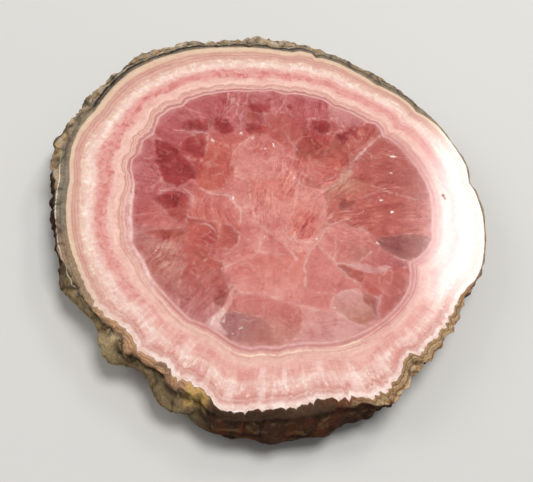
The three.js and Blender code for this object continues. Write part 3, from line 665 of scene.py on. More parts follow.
def nearest_side(points, start, end):
    """Distance to the nearest of the straight sides from each start to its end: the length of what is left
    of the offset from the start once its part along the side, kept between the two ends, is taken off."""
    side = end - start
    offset = points[:, None] - start
    along = np.clip((offset * side).sum(2) / (side ** 2).sum(1), 0, 1)
    return np.linalg.norm(offset - along[..., None] * side, axis=2).min(1)


def outline_distance(points, outline):
    """How far each point lies outside a closed outline of straight sides, and less than zero inside it:
    the distance to the nearest side, with its sign from how often a ray to the left crosses the outline."""
    start = np.array(outline, float)
    end = np.roll(start, -1, axis=0)
    distance = nearest_side(points, start, end)
    y = points[:, 1, None]
    rise = np.where(end[:, 1] == start[:, 1], 1, end[:, 1] - start[:, 1])
    crosses = ((start[:, 1] > y) != (end[:, 1] > y)) \
        & (points[:, 0, None] < start[:, 0] + (end[:, 0] - start[:, 0]) * (y - start[:, 1]) / rise)
    return np.where(crosses.sum(1) % 2 == 1, -distance, distance)


def nearest_line(points, lines):
    """Distance to the nearest of the lines, in widths of that line, and its strength."""
    best = np.full(len(points), FAR)
    strength = np.zeros(len(points))
    for amount, width, line in lines:
        knots = np.array(line, float)
        distance = nearest_side(points, knots[:-1], knots[1:]) / width
        closer = distance < best
        best = np.where(closer, distance, best)
        strength = np.where(closer, amount, strength)
    return np.column_stack([best, strength, np.zeros(len(points))])


def fibre_places(points):
    """Place along and across the fibres of the strongest patch, and by how much it is the strongest."""
    along, across = np.zeros(len(points)), np.zeros(len(points))
    best, second = np.zeros(len(points)), np.zeros(len(points))
    for centre_x, centre_y, length, width, direction, curve, strength in FIBRES:
        ahead, aside = heading(direction)
        offset = points - (centre_x, centre_y)
        forward = offset @ ahead
        inside = strength * np.exp(-(forward / length) ** 2 - (offset @ aside / width) ** 2)
        closer = inside > best
        second = np.where(closer, best, np.maximum(second, inside))
        along = np.where(closer, points @ ahead, along)
        across = np.where(closer, points @ aside + curve * forward ** 2, across)
        best = np.where(closer, inside, best)
    return np.column_stack([along, across, best - second])


def wall_crease(place):
    """1 along the winding lines between the lumps of the crust, 0 on the lumps."""
    large = layered_noise(place * (1, 1, 1.2), *LARGE_CREASES)
    small = layered_noise(place * (1, 1, 1.2), *SMALL_CREASES)
    return np.maximum(np.exp(-(large / 0.13) ** 2), 0.6 * np.exp(-(small / 0.1) ** 2))


def stone_net():
    """Points and faces of the whole stone, from the crystal core out over the rings and the crust, down
    the wall, and back in over the sawn face to a net half as fine."""
    heights, wall = frame_wall()
    fine_turn = np.arange(STEPS) * 360 / STEPS
    coarse_turn = fine_turn[::2]
    points, faces = [], []
    count = 0

    def add(x, y, z):
        """Adds points and gives their numbers."""
        nonlocal count
        points.append(np.stack([x, y, z], 1))
        ring = np.arange(count, count + len(x))
        count += len(x)
        return ring

    def ring_at(turn, radius, height):
        """Adds a ring of points."""
        angle = np.radians(turn)
        return add(radius * np.cos(angle), radius * np.sin(angle), height)

    def disc_at(cells, height):
        """Adds a disc as wide as the core, and gives the numbers of its border and of its faces' corners."""
        disc, border, quads = square_disc(cells)
        turn = np.degrees(np.arctan2(disc[:, 1], disc[:, 0])) % 360
        edge = round_curve(CORE_EDGE, turn)
        ids = add(disc[:, 0] * edge, disc[:, 1] * edge, np.full(len(disc), float(height)))
        return ids[border], ids[quads]

    def crust(turn, height):
        """Radius of the wall with its natural roughness."""
        base = wall_radius(heights, wall, turn, height)
        angle = np.radians(turn)
        place = np.stack([base * np.cos(angle), base * np.sin(angle), height], 1)
        ragged = round_curve(RAGGED, turn)
        shelter = eased(THICKNESS - height, 0, 0.9) * (0.4 + 0.6 * eased(height, 0, 1.2))
        inside = ragged + (1 - ragged) * shelter
        grain = LUMP_HEIGHT * layered_noise(place, *WALL_LUMPS)
        grain += GRIT_HEIGHT * layered_noise(place * (1, 1, 1.6), *WALL_GRIT)
        rough = inside * round_curve(WALL_GRAIN, turn)
        return base + rough * (grain - CREASE_DEPTH * (wall_crease(place) - 0.2))

    top = np.full(STEPS, THICKNESS)
    last, quads = disc_at(CORE_CELLS, THICKNESS)
    faces.append(quads)
    edge = round_curve(CORE_EDGE, fine_turn)
    rim = crust(fine_turn, top)
    parts = np.concatenate([
        np.linspace(0, CLOSER_FROM, BELT_ROWS + 1)[1:],
        np.linspace(CLOSER_FROM, 1, CLOSER_ROWS + 1)[1:],
    ])
    for part in parts:
        ring = ring_at(fine_turn, edge + (rim - RIM_BREAK - edge) * part, top)
        faces.append(strip(last, ring))
        last = ring
    even = np.linspace(THICKNESS - WALL_START, RIM_BREAK, WALL_ROWS)
    for height in [THICKNESS - RIM_BREAK, *even]:
        level = np.full(STEPS, height)
        ring = ring_at(fine_turn, crust(fine_turn, level), level)
        faces.append(strip(last, ring))
        last = ring
    foot = crust(fine_turn, 0 * top) - RIM_BREAK
    ring = ring_at(fine_turn, foot, 0 * top)
    faces.append(strip(last, ring))
    last = ring
    edge, foot = edge[::2], foot[::2]
    for part in np.linspace(1, 0, FOOT_ROWS + 1)[1:]:
        if part == 0:
            ring, quads = disc_at(CORE_CELLS // 2, 0)
            faces.append(quads[:, ::-1])
        else:
            ring = ring_at(coarse_turn, edge + (foot - edge) * part, 0 * coarse_turn)
        faces.append(halving_strip(last, ring) if len(last) > len(ring) else strip(last, ring))
        last = ring
    return np.concatenate(points), [face for block in faces for face in block.tolist()]


def crystal_layers(points, warped):
    """The crystals spread over as few layers as keep touching ones apart, each above those it covers.
    Each layer gives its nearest crystal's colour and the distance past that crystal's edge, in
    softnesses of the edge."""
    distances = [outline_distance(warped, crystal[4]) for crystal in CRYSTALS]
    near = np.array([distance < TOUCHING for distance in distances])
    inner = np.array([distance < -COVERING for distance in distances])
    touch = (near.astype(int) @ near.T) > 0
    cover = (inner.astype(int) @ inner.T) > 0
    layer_of = []
    for index in range(len(CRYSTALS)):
        lowest = 1 + max([layer_of[other] for other in range(index) if cover[index, other]], default=-1)
        taken = {layer_of[other] for other in range(index) if touch[index, other]}
        layer_of.append(next(layer for layer in range(lowest, len(CRYSTALS)) if layer not in taken))
    layers = []
    for layer in range(max(layer_of) + 1):
        colour = np.zeros((len(points), 3))
        best = np.full(len(points), FAR)
        for index in np.flatnonzero(np.array(layer_of) == layer):
            softness, start, end, direction, outline = CRYSTALS[index]
            distance = distances[index] / softness
            ahead, _ = heading(direction)
            reach = np.array(outline) @ ahead
            part = eased(points @ ahead, reach.min(), reach.max())[:, None]
            closer = distance < best
            best = np.where(closer, distance, best)
            mixed = named(start) * (1 - part) + named(end) * part
            colour = np.where(closer[:, None], mixed, colour)
        layers.append(np.column_stack([colour, np.clip(best, -FAR, FAR)]))
    return layers


def ground_colour(points):
    """Ground colour of the core: the tones of the spots, each weighed by a bell curve of the distance from
    it. The small number keeps the weights' sum above zero."""
    spot = np.array([row[:3] for row in GROUND], float)
    weight = np.exp(-((points[:, None] - spot[:, :2]) ** 2).sum(2) / (0.8 * spot[:, 2]) ** 2) + 1e-9
    ground = weight @ np.array([named(row[3]) for row in GROUND]) / weight.sum(1)[:, None]
    return np.column_stack([ground, np.ones(len(ground))])


def glint_amounts(points):
    """Brightness of the painted glints: the highest of their long bell curves."""
    amount = np.zeros(len(points))
    for centre_x, centre_y, length, width, direction, strength in GLINTS:
        ahead, aside = heading(direction)
        offset = points - (centre_x, centre_y)
        along, across = (offset @ ahead) / (length / 2), (offset @ aside) / (width / 2)
        amount = np.maximum(amount, strength * np.exp(-along ** 2 - across ** 2))
    return amount


def dull_amounts(points):
    """The highest of the round bell curves of the dull spots."""
    amount = np.zeros(len(points))
    for centre_x, centre_y, reach in SPOTS:
        distance = ((points - (centre_x, centre_y)) ** 2).sum(1)
        amount = np.maximum(amount, np.exp(-distance / reach ** 2))
    return amount


def clear_amounts(points):
    """1 well inside the clear crystals, 0 outside them, with a soft step along their edges."""
    amount = np.zeros(len(points))
    for _, start, _, _, outline in CRYSTALS:
        if start in CLEAR_TONES:
            amount = np.maximum(amount, eased(-outline_distance(points, outline), -0.9, 0.1))
    return amount


def belt_growth(turn, part):
    """Place across the ring belt, below 0 in the core and 1 at the crust, stretched so that the red band
    and the peach layers start at the same number all the way round."""
    red, peach = round_curve(RED_START, turn), round_curve(PEACH_START, turn)
    return np.select(
        [part < 0, part < red, part < peach],
        [part, part / red * RED_MEAN, RED_MEAN + (part - red) / (peach - red) * (PEACH_MEAN - RED_MEAN)],
        PEACH_MEAN + (part - peach) / (1 - peach) * (1 - PEACH_MEAN),
    )


def stone_fields(points):
    """What the stone's material reads at each point, by name."""
    x, y, z = points.T
    flat = points[:, :2] + RING_CENTRE
    turn = np.degrees(np.arctan2(y, x)) % 360
    radius = np.hypot(x, y)
    heights, wall = frame_wall()
    rim = wall_radius(heights, wall, turn, np.full(len(turn), THICKNESS))
    foot = wall_radius(heights, wall, turn, np.zeros(len(turn)))
    under = z < THICKNESS / 50
    on_wall = ~under & (z < THICKNESS - RIM_BREAK / 2)
    edge = round_curve(CORE_EDGE, turn)
    end = round_curve(RING_EDGE, turn) + np.where(under, foot - rim, 0)
    down_wall = np.maximum(np.minimum(radius, rim) - end, 0) + THICKNESS - z
    crust = np.where(on_wall, down_wall, radius - end)
    wave = np.stack([layered_noise(points * (1, 1, 0), *noise) for noise in (WANDER_X, WANDER_Y)], 1)
    warped = flat + EDGE_WANDER * wave
    slight = flat + SEAM_WANDER * wave
    none = np.zeros(len(points))
    # Painted shade in the creases between the lumps of the crust
    crease = wall_crease(points) * eased(crust, 0, 1.5)
    fields = {"ground": ground_colour(warped)}
    for number, layer in enumerate(crystal_layers(flat, warped)):
        fields[f"crystals_{number}"] = layer
    fields["seams"] = nearest_line(slight, SEAMS)
    fields["cracks"] = nearest_line(slight, CRACKS)
    fields["fibres"] = fibre_places(flat)
    # Painted highlights of the glints, with the dull spots in the polish and how clear the crystals are
    fields["flecks"] = np.column_stack([glint_amounts(flat), dull_amounts(slight), clear_amounts(warped)])
    fields["belt"] = np.column_stack([belt_growth(turn, (radius - edge) / (end - edge)), crust, turn])
    fields["ring_mood"] = np.column_stack([
        round_curve(table, turn) for table in (SOUTH, RED_BAND, SCALLOPS, ZIGZAG)])
    fields["crust_mood"] = np.column_stack([
        round_curve(table, turn) for table in (DARK_CRUST, GREY_CRUST, PALE_LINE, RUST)])
    fields["wall_mood"] = np.column_stack([round_curve(BARK_AND_SHADE, turn), crease, none])
    return fields


def worn(points, fields):
    """The stone's points with the crust broken a little below the polish."""
    below = THICKNESS - points[:, 2]
    crust = fields["belt"][:, 1] - below
    turn = fields["belt"][:, 2]
    noise = layered_noise(points * (1, 1, 0), *WEAR)
    broken = eased(crust + 0.35 * noise, 0.3, 1.3) * round_curve(CHIPS, turn)
    depth = broken * bpy.context.scene.stone_finish.crumble / MM * np.clip(1 + 1.3 * noise, 0.1, 3)
    depth += eased(crust + 0.2 * noise, 1.1, 1.7) * round_curve(LEDGE, turn) * LEDGE_DEPTH
    result = points.copy()
    result[:, 2] -= depth * np.clip(1 - below / WORN_DOWN_TO, 0, 1)
    return result


class Socket:
    """An output of a shader node. Arithmetic on it adds Math nodes to the graph."""

    def __init__(self, graph, output):
        self.graph = graph
        self.output = output

    def math(self, operation, *others):
        """One operation on this number, with others where it takes more."""
        return self.graph.node("ShaderNodeMath", {"operation": operation}, [self, *others])

    def __add__(self, other):
        return self.math("ADD", other)

    __radd__ = __add__

    def __mul__(self, other):
        return self.math("MULTIPLY", other)

    __rmul__ = __mul__

    def __sub__(self, other):
        return self.math("SUBTRACT", other)

    def __rsub__(self, other):
        return self.graph.node("ShaderNodeMath", {"operation": "SUBTRACT"}, [other, self])

    def __truediv__(self, other):
        return self.math("DIVIDE", other)

    def __pow__(self, other):
        return self.math("POWER", other)

    def __abs__(self):
        return self.math("ABSOLUTE")

    def step(self, low, high):
        """0 at low, 1 at high, smooth between them; low may be the larger one."""
        inputs = {0: self, 1: low, 2: high, 3: 0.0, 4: 1.0}
        return self.graph.node("ShaderNodeMapRange", {"interpolation_type": "SMOOTHSTEP"}, inputs)

    def line(self, centre, half_width):
        """1 on a line of values and 0 from half a width away."""
        return abs(self - centre).step(half_width, 0)


class Graph:
    """The node graph of one material."""

    def __init__(self, name):
        self.material = bpy.data.materials.new(name)
        self.material.use_nodes = True
        self.tree = self.material.node_tree
        self.tree.nodes.clear()

    def node(self, kind, settings, inputs, output=0):
        """Adds a node, sets it up, then fills its sockets with values or links."""
        node = self.tree.nodes.new(kind)
        for name, value in settings.items():
            if name == "stops":
                self.set_stops(node.color_ramp, value)
            else:
                setattr(node, name, value)
        pairs = inputs.items() if isinstance(inputs, dict) else enumerate(inputs)
        for key, value in pairs:
            if isinstance(value, Socket):
                self.tree.links.new(value.output, node.inputs[key])
            else:
                node.inputs[key].default_value = value
        return Socket(self, node.outputs[output]) if node.outputs else node

    @staticmethod
    def set_stops(ramp, stops):
        """Gives a ramp its stops, each a place and a colour."""
        while len(ramp.elements) < len(stops):
            ramp.elements.new(1)
        for element, (place, colour) in zip(ramp.elements, stops):
            element.position = place
            element.color = colour

    def attribute(self, name, output):
        """One of the mesh's attributes, read as a colour, a vector or its fourth number."""
        kind = {"colour": 0, "vector": 1, "alpha": 3}[output]
        return self.node("ShaderNodeAttribute", {"attribute_name": name}, {}, kind)

    def parts(self, vector):
        """The three numbers of a vector."""
        separate = self.node("ShaderNodeSeparateXYZ", {}, {0: vector})
        return [Socket(self, output) for output in separate.output.node.outputs]

    def vector(self, x, y, z):
        """A vector from its three numbers."""
        return self.node("ShaderNodeCombineXYZ", {}, [x, y, z])

    def blend(self, factor, start, end):
        """The start colour at a factor of 0 and the end colour at 1."""
        return self.node("ShaderNodeMix", {"data_type": "RGBA"}, {0: factor, 6: start, 7: end}, 2)

    def vectors(self, operation, *inputs, output=0):
        """One operation on vectors; output 1 is the one for results that are a single number."""
        return self.node("ShaderNodeVectorMath", {"operation": operation}, inputs, output)

    def scaled(self, colour, factor):
        """A colour or a vector times a number."""
        return self.node("ShaderNodeVectorMath", {"operation": "SCALE"}, {0: colour, 3: factor})

    def noise(self, vector, scale, detail=3.0, roughness=0.55, distortion=0.0):
        """Soft noise round 0.5."""
        inputs = {"Vector": vector, "Scale": scale, "Detail": detail, "Roughness": roughness,
                  "Distortion": distortion}
        return self.node("ShaderNodeTexNoise", {}, inputs)

    def crests(self, vector, scale, detail, roughness, distortion):
        """Noise with sharp crests."""
        inputs = {"Vector": vector, "Scale": scale, "Detail": detail, "Roughness": roughness,
                  "Lacunarity": 2.1, "Distortion": distortion}
        return self.node("ShaderNodeTexNoise", {"noise_type": "RIDGED_MULTIFRACTAL"}, inputs)

    def cells(self, vector, scale, output=0, feature="F1"):
        """Cells round random points: output 0 is the distance, 1 a random colour for each cell."""
        inputs = {"Vector": vector, "Scale": scale}
        return self.node("ShaderNodeTexVoronoi", {"feature": feature}, inputs, output)

    def ramp(self, value, stops):
        """The colour at a value between stops, each a place and a colour."""
        return self.node("ShaderNodeValToRGB", {"stops": stops}, {0: value})


# Colours across the ring belt, from the core out to the crust, at the back and at the front
NORTH_RINGS = [
    (0.000, (218, 162, 156)), (0.035, (227, 172, 166)), (0.054, (214, 154, 148)), (0.075, (208, 146, 139)),
    (0.100, (218, 158, 149)), (0.120, (233, 183, 169)), (0.148, (221, 165, 153)), (0.164, (230, 178, 164)),
    (0.182, (222, 168, 152)), (0.222, (240, 194, 180)), (0.290, (236, 188, 175)), (0.340, (234, 178, 168)),
    (0.400, (226, 158, 149)), (0.460, (227, 162, 153)), (0.520, (234, 182, 171)), (0.570, (241, 203, 190)),
    (0.620, (241, 208, 194)), (0.675, (233, 195, 178)), (0.725, (228, 187, 168)), (0.765, (214, 162, 146)),
    (0.795, (222, 174, 157)), (0.825, (200, 145, 132)), (0.850, (220, 171, 154)), (0.876, (202, 149, 134)),
    (0.905, (222, 181, 156)), (0.935, (227, 194, 166)), (0.975, (224, 193, 166)), (1.000, (192, 164, 140)),
]
SOUTH_RINGS = [
    (0.000, (206, 146, 140)), (0.030, (220, 164, 158)), (0.060, (210, 148, 142)), (0.078, (200, 132, 125)),
    (0.100, (212, 150, 141)), (0.130, (226, 170, 158)), (0.175, (231, 180, 166)), (0.192, (220, 165, 152)),
    (0.210, (229, 178, 165)), (0.260, (233, 184, 171)), (0.310, (231, 176, 164)), (0.420, (230, 172, 161)),
    (0.500, (231, 178, 165)), (0.560, (237, 196, 184)), (0.620, (233, 190, 178)), (0.680, (226, 172, 159)),
    (0.735, (213, 153, 140)), (0.770, (203, 139, 126)), (0.805, (218, 169, 157)), (0.845, (206, 145, 133)),
    (0.880, (219, 168, 156)), (0.910, (232, 196, 184)), (0.935, (233, 199, 187)), (0.960, (226, 184, 172)),
    (0.984, (237, 208, 197)), (1.000, (229, 200, 185)),
]

# Colours drawn over the crystals, the rings and the crust
PAINTS = {
    # Painted highlight of the glints below the polish
    "fleck": (252, 236, 226),
    "cream_line": (246, 220, 186),
    "dun_line": (206, 156, 128),
    "plum_line": (166, 98, 94),
    "clay_line": (180, 124, 106),
    "red_rim": (194, 92, 90),
    "pink_gleam": (240, 188, 182),
    # Partly the rings' own darker pink, partly painted shade that offsets the window's glare
    "dim_pink": (206, 138, 132),
    "pale_pink": (242, 200, 193),
    "red_band": (207, 114, 107),
    "red_speck": (180, 78, 80),
    "brown_speck": (178, 116, 106),
    "dark_plume": (208, 122, 110),
    "white_plume": (247, 223, 213),
    "white_border": (248, 227, 217),
    "pale_flame": (247, 214, 204),
    "rose_flame": (214, 132, 122),
    "chalk_grain": (252, 234, 223),
    # Painted highlight on the upper lumps
    "pale_moss": (214, 200, 154),
    # Painted highlight and painted shade along faint ledges of the wall
    "dry_bark": (122, 98, 66),
    "wet_bark": (36, 24, 17),
    "chalk_line": (244, 234, 216),
    "cream_fold": (222, 198, 160),
    "amber_fold": (168, 112, 66),
    "yolk": (226, 184, 108),
    "smudge": (112, 94, 80),
    # Painted shade in the crevices of the crust
    "scorch": (118, 68, 42),
    "crevice": (44, 30, 20),
    "sawn": (214, 190, 178),
}


def ring_shades(stops):
    """A ramp's stops, from places and 0 to 255 display values."""
    return [(place, shade(*colour)) for place, colour in stops]


class StoneMaterial:
    """The stone's one material: crystals, rings and crust in one polish."""

    def __init__(self, layers):
        """layers is how many layers of crystals the mesh carries."""
        self.graph = graph = Graph("rhodochrosite")
        self.layers = layers
        self.tones = {name: (*named(name), 1) for name in StoneTones.__annotations__}
        self.tones.update({name: shade(*colour) for name, colour in PAINTS.items()})
        self.read_places()
        self.read_fields()
        self.ray = graph.noise(self.around(30, 0.2), 1.0, 4.0, 0.68)
        self.fine = graph.noise(self.around(52, 0.8), 1.0, 4.0, 0.68)
        self.patch = graph.noise(self.spot, 0.55, 4.0, 0.66, 0.5)
        self.dots = graph.noise(self.spot, 1.3, 4.0, 0.7)
        self.lump = graph.noise(self.spot, 0.4, 5.0, 0.62, 0.4)
        self.grit = graph.noise(self.spot, 1.7, 5.0, 0.7)

    def read_places(self):
        """The place on the stone in millimetres, from its own origin and from the centre of the rings."""
        graph = self.graph
        place = graph.node("ShaderNodeTexCoord", {}, {}, 3)
        self.spot = graph.scaled(place, 1 / MM)
        offset = graph.vectors("SUBTRACT", self.spot, (*RING_CENTRE, 0))
        flat = graph.vectors("MULTIPLY", offset, (1, 1, 0))
        self.radius = graph.vectors("LENGTH", flat, output=1)
        self.unit_x, self.unit_y, _ = graph.parts(graph.vectors("NORMALIZE", flat))
        self.x, self.y, self.height = graph.parts(offset)
        self.turn = (self.y.math("ARCTAN2", self.x) * math.degrees(1) + 360).math("MODULO", 360)

    def read_fields(self):
        """The mesh's attributes."""
        graph = self.graph
        self.growth, self.crust, _ = graph.parts(graph.attribute("belt", "vector"))
        self.south, self.red, self.scallop = graph.parts(graph.attribute("ring_mood", "vector"))
        self.zigzag = graph.attribute("ring_mood", "alpha")
        self.dark, self.grey, self.pale = graph.parts(graph.attribute("crust_mood", "vector"))
        self.rust = graph.attribute("crust_mood", "alpha")
        # The bark share, partly painted shade, and the painted shade in the creases between the lumps
        self.bark, self.crease, _ = graph.parts(graph.attribute("wall_mood", "vector"))
        # The painted glints' brightness, the dull spots in the polish and the clear crystals
        self.fleck, self.dull, self.clear = graph.parts(graph.attribute("flecks", "vector"))

    def around(self, across, along):
        """A place on a cylinder: across sets how fine a pattern is round the rings, along how fine it is
        outwards."""
        return self.graph.vector(self.unit_x * across, self.unit_y * across, self.radius * along)

    def arc(self, start, end, fade):
        """1 between two angles, with a soft step of the fade's width on each."""
        return self.turn.step(start - fade, start + fade) * self.turn.step(end + fade, end - fade)

    @staticmethod
    def saw(phase):
        """Straight teeth between -0.5 and 0.5, one for each whole step of the phase."""
        return abs(phase.math("FRACT") - 0.5) * 2 - 0.5

    def painted(self, colour, *coats):
        """A colour under coats laid on in order, each an amount and a tone."""
        for amount, name in coats:
            colour = self.graph.blend(amount, colour, self.tones[name])
        return colour

    def deepened(self, colour, change):
        """A colour made paler where the change is above zero, and deeper below it. Red changes least."""
        tint = self.graph.vector(1 + change * 0.42, 1 + change, 1 + change * 0.95)
        return self.graph.vectors("MULTIPLY", colour, tint)

    def facet(self, place):
        """Flat-sided cells of about unit size, each of a random shade with a slope across it, between
        about -1 and 1."""
        graph = self.graph
        cell = graph.cells(place, 1.0, 1)
        middle = Socket(graph, cell.output.node.outputs["Position"])
        tilt = graph.vectors("SUBTRACT", cell, (0.5, 0.5, 0.5))
        slope = graph.vectors("DOT_PRODUCT", graph.vectors("SUBTRACT", place, middle), tilt, output=1)
        first, _, _ = graph.parts(tilt)
        return first + slope * 1.5

    def crystals(self):
        """The core's ground colour with each layer of crystals laid over it, and a milky line along parts
        of their edges."""
        graph, spot = self.graph, self.spot
        colour = graph.attribute("ground", "colour")
        fuzz = graph.noise(spot, 0.8, 4.0, 0.6) - 0.5
        width = 0.6 + graph.noise(spot, 0.2, 2.0).step(0.4, 0.65) * 2.2
        seen = graph.noise(spot, 0.4, 4.0, 0.6).step(0.42, 0.62) * (0.4 - self.clear * 0.25)
        for number in range(self.layers):
            name = f"crystals_{number}"
            edge = graph.attribute(name, "alpha") + fuzz * 1.6
            colour = graph.blend(edge.step(width, width * -1), colour, graph.attribute(name, "colour"))
            colour = self.painted(colour, (edge.line(0.5, 1.1) * seen, "milk"))
        return colour

    def fibres(self):
        """Along the fibres: long streaks, thin threads and flat blades, and how strong the fibres are."""
        graph = self.graph
        along, across, amount = graph.parts(graph.attribute("fibres", "vector"))
        across = across + graph.noise(self.spot, 0.25, 2.0) * 2.5
        streak = graph.noise(graph.vector(along * 0.16, across * 1.7, 0.0), 1.0, 5.0, 0.7)
        thread = graph.noise(graph.vector(along * 0.12, across * 2.6, 5.0), 1.0, 2.0, 0.5)
        blade = self.facet(graph.vector(along * 0.17, across * 0.42, 0.0))
        chip = self.facet(graph.vector(along * 0.4, across * 1.1, 3.0))
        return streak - 0.5, thread, blade * 0.4 + chip * 0.3, (amount * 1.7).math("MINIMUM", 1)

    def core_colour(self):
        """The crystals with their fibres, facets and clouds, less uneven in the calm ones at the front."""
        graph, spot = self.graph, self.spot
        streak, thread, blades, amount = self.fibres()
        cloud = graph.noise(spot, 0.3, 6.0, 0.58, 0.8)
        mottle = graph.noise(spot, 1.4, 4.0, 0.7) - 0.5
        plane = self.facet(graph.scaled(spot, 0.3))
        spoke = (graph.noise(self.around(15, 0.13), 1.0, 5.0, 0.66, 0.5) - 0.5) * self.radius.step(14, 25)
        calm = self.y.step(-7, -13) * self.x.step(-7, -2)
        change = streak * (amount * 2.0 + 0.2) + blades * amount + plane * 0.2
        change = change + (cloud - 0.5) * (1.2 + self.clear) + plane * self.clear * 0.3 + spoke * 1.5
        change = change * (1 - calm * 0.45) + self.facet(graph.scaled(spot, 0.14)) * calm * 0.22
        light = 1 + mottle * (0.8 - calm * 0.35) + streak * amount * 0.5
        colour = graph.scaled(self.deepened(self.crystals(), change), light)
        shown = graph.noise(spot, 0.5, 3.0, 0.6).step(0.42, 0.6)
        strands = thread.step(0.54, 0.66) * cloud.step(0.3, 0.5) * amount * shown
        colour = self.seamed(self.veiled(colour, strands, spoke))
        # Painted shade: the core darker towards +X, where the window light's haze brightens it
        east_shade = self.x.step(8, 28) * -0.06
        tint = graph.vector(*(east_shade + part for part in CORE_TINT))
        # Painted highlights: the glints are laid on last
        return self.flecked(graph.vectors("MULTIPLY", colour, tint))

    def veiled(self, colour, strands, spoke):
        """Milky strands, wisps, veils and veins in the cloudy crystals, and hazy spokes near the rings."""
        graph, spot = self.graph, self.spot
        cloudy = 1 - self.clear * 0.35
        wisp = graph.noise(spot, 0.42, 5.0, 0.6, 1.6)
        veil = graph.crests(spot, 0.2, 6.0, 0.6, 0.9).step(0.75, 1.3)
        veil = veil * graph.noise(spot, 0.21, 3.0).step(0.4, 0.62)
        vein = graph.crests(spot, 0.46, 4.0, 0.55, 0.6).step(0.95, 1.5)
        vein = vein * graph.noise(spot, 0.33, 3.0).step(0.46, 0.62)
        return self.painted(
            colour,
            (strands * cloudy * 0.6, "milk"),
            (wisp.step(0.52, 0.76) * cloudy * 0.4, "milk"),
            (wisp.step(0.44, 0.25) * 0.45, "red"),
            (veil * cloudy * 0.55, "milk"),
            (spoke.step(0.1, 0.24) * cloudy * 0.35, "haze"),
            (vein * cloudy * 0.4, "milk"),
        )

    def seamed(self, colour):
        """Pale seams with a milky halo, dark hair cracks, and a hazy shore where the rings begin."""
        graph, spot = self.graph, self.spot
        grain = graph.noise(spot, 0.9, 3.0, 0.6) - 0.5
        fade = graph.noise(spot, 0.28, 3.0).step(0.38, 0.62) * 0.75 + 0.25
        near_seam, strength, _ = graph.parts(graph.attribute("seams", "vector"))
        near_crack, depth, _ = graph.parts(graph.attribute("cracks", "vector"))
        shore = self.growth.step(-0.1, 0.01) * graph.noise(spot, 0.45, 3.0).step(0.36, 0.6)
        return self.painted(
            colour,
            (near_seam.step(4.0, 0.4) * strength * 0.22, "milk"),
            ((near_seam + grain * 2.0).step(0.8, 0.1) * fade * strength * 0.9, "white"),
            ((near_crack + grain * 1.5).step(1.0, 0.2) * depth, "wine"),
            (shore * 0.5, "haze"),
        )

    def flecked(self, colour):
        """Painted highlights: bright glints in their places, broken up by fine noise, and faint ones here
        and there.
        """
        glint = self.graph.noise(self.spot, 3.2, 3.0, 0.6)
        gleam = glint.step(0.66, 0.74) * self.graph.noise(self.spot, 0.3, 2.0).step(0.5, 0.7)
        bright = (self.fleck * 1.3 + glint * 1.6).step(1.15, 1.8)
        return self.painted(colour, (bright + gleam * 0.3, "fleck"))

    def ring_growth(self):
        """Place across the belt, with the waves, the scallops near the core and the teeth further out that
        its layers follow."""
        graph = self.graph
        wobble = graph.noise(self.around(16, 0.05), 1.0, 3.0, 0.55) - 0.5
        ripple = graph.noise(self.spot, 0.8, 3.0, 0.6) - 0.5
        lobe = graph.cells(self.around(16, 0.06), 1.0) ** 2 * 0.075
        small_lobe = graph.cells(self.around(38, 0.1), 1.0) ** 2 * 0.018
        near = self.growth.step(-0.02, 0.06) * self.growth.step(0.5, 0.2)
        middle = self.growth.step(0.1, 0.4) * self.growth.step(1.0, 0.75)
        growth = self.growth + (wobble * 0.02 + ripple * 0.014) * (1 + middle * 3)
        growth = growth + (lobe + small_lobe) * near * self.scallop
        wave = graph.noise(self.around(4, 0.02), 1.0, 3.0) - 0.5
        shift = graph.noise(self.around(14, 0.02), 1.0, 2.0)
        size = graph.noise(self.around(10, 0.02), 1.0, 2.0).step(0.36, 0.62)
        teeth = self.saw(self.turn / 2.4 + wave * 4 + shift * 1.3) * (0.35 + size * 0.9)
        teeth = teeth + self.saw(self.turn / 5.7 + wave * 3 + shift) * 0.8
        rough = graph.noise(self.around(26, 0.1), 1.0, 4.0, 0.65) - 0.5
        return growth + (teeth * 0.075 + rough * 0.14) * growth.step(0.45, 0.85) * self.zigzag

    def ring_colour(self):
        """The rings in the colours of their side of the stone, with all that is drawn over them, and the
        growth that they follow."""
        graph = self.graph
        growth = self.ring_growth()
        north, south = (graph.ramp(growth, ring_shades(stops)) for stops in (NORTH_RINGS, SOUTH_RINGS))
        colour = graph.blend(self.south, north, south)
        colour = self.red_banded(self.lined(colour, growth), growth)
        colour = self.flamed(colour, growth)
        chalk = (self.fine + self.patch).step(0.98, 1.25) * growth.step(0.5, 0.6) * growth.step(0.78, 0.7)
        colour = self.painted(colour, (chalk * 0.5, "chalk_grain"))
        agate = graph.noise(graph.vector(self.unit_x * 6, self.unit_y * 6, growth * 17), 1.0, 4.0, 0.78)
        soft = graph.noise(graph.vector(self.unit_x * 9, self.unit_y * 9, growth * 11), 1.0, 3.0, 0.6)
        change = (agate - 0.5) * 0.8 + (soft - 0.5) * 0.4 + (self.fine - 0.5) * 0.4
        change = change + (self.patch - 0.5) * 0.35 + (self.ray - 0.5) * 0.15 + (self.dots - 0.5) * 0.35
        change = change * (1.15 - growth.step(0.6, 0.9) * 0.3)
        return self.deepened(colour, change), growth

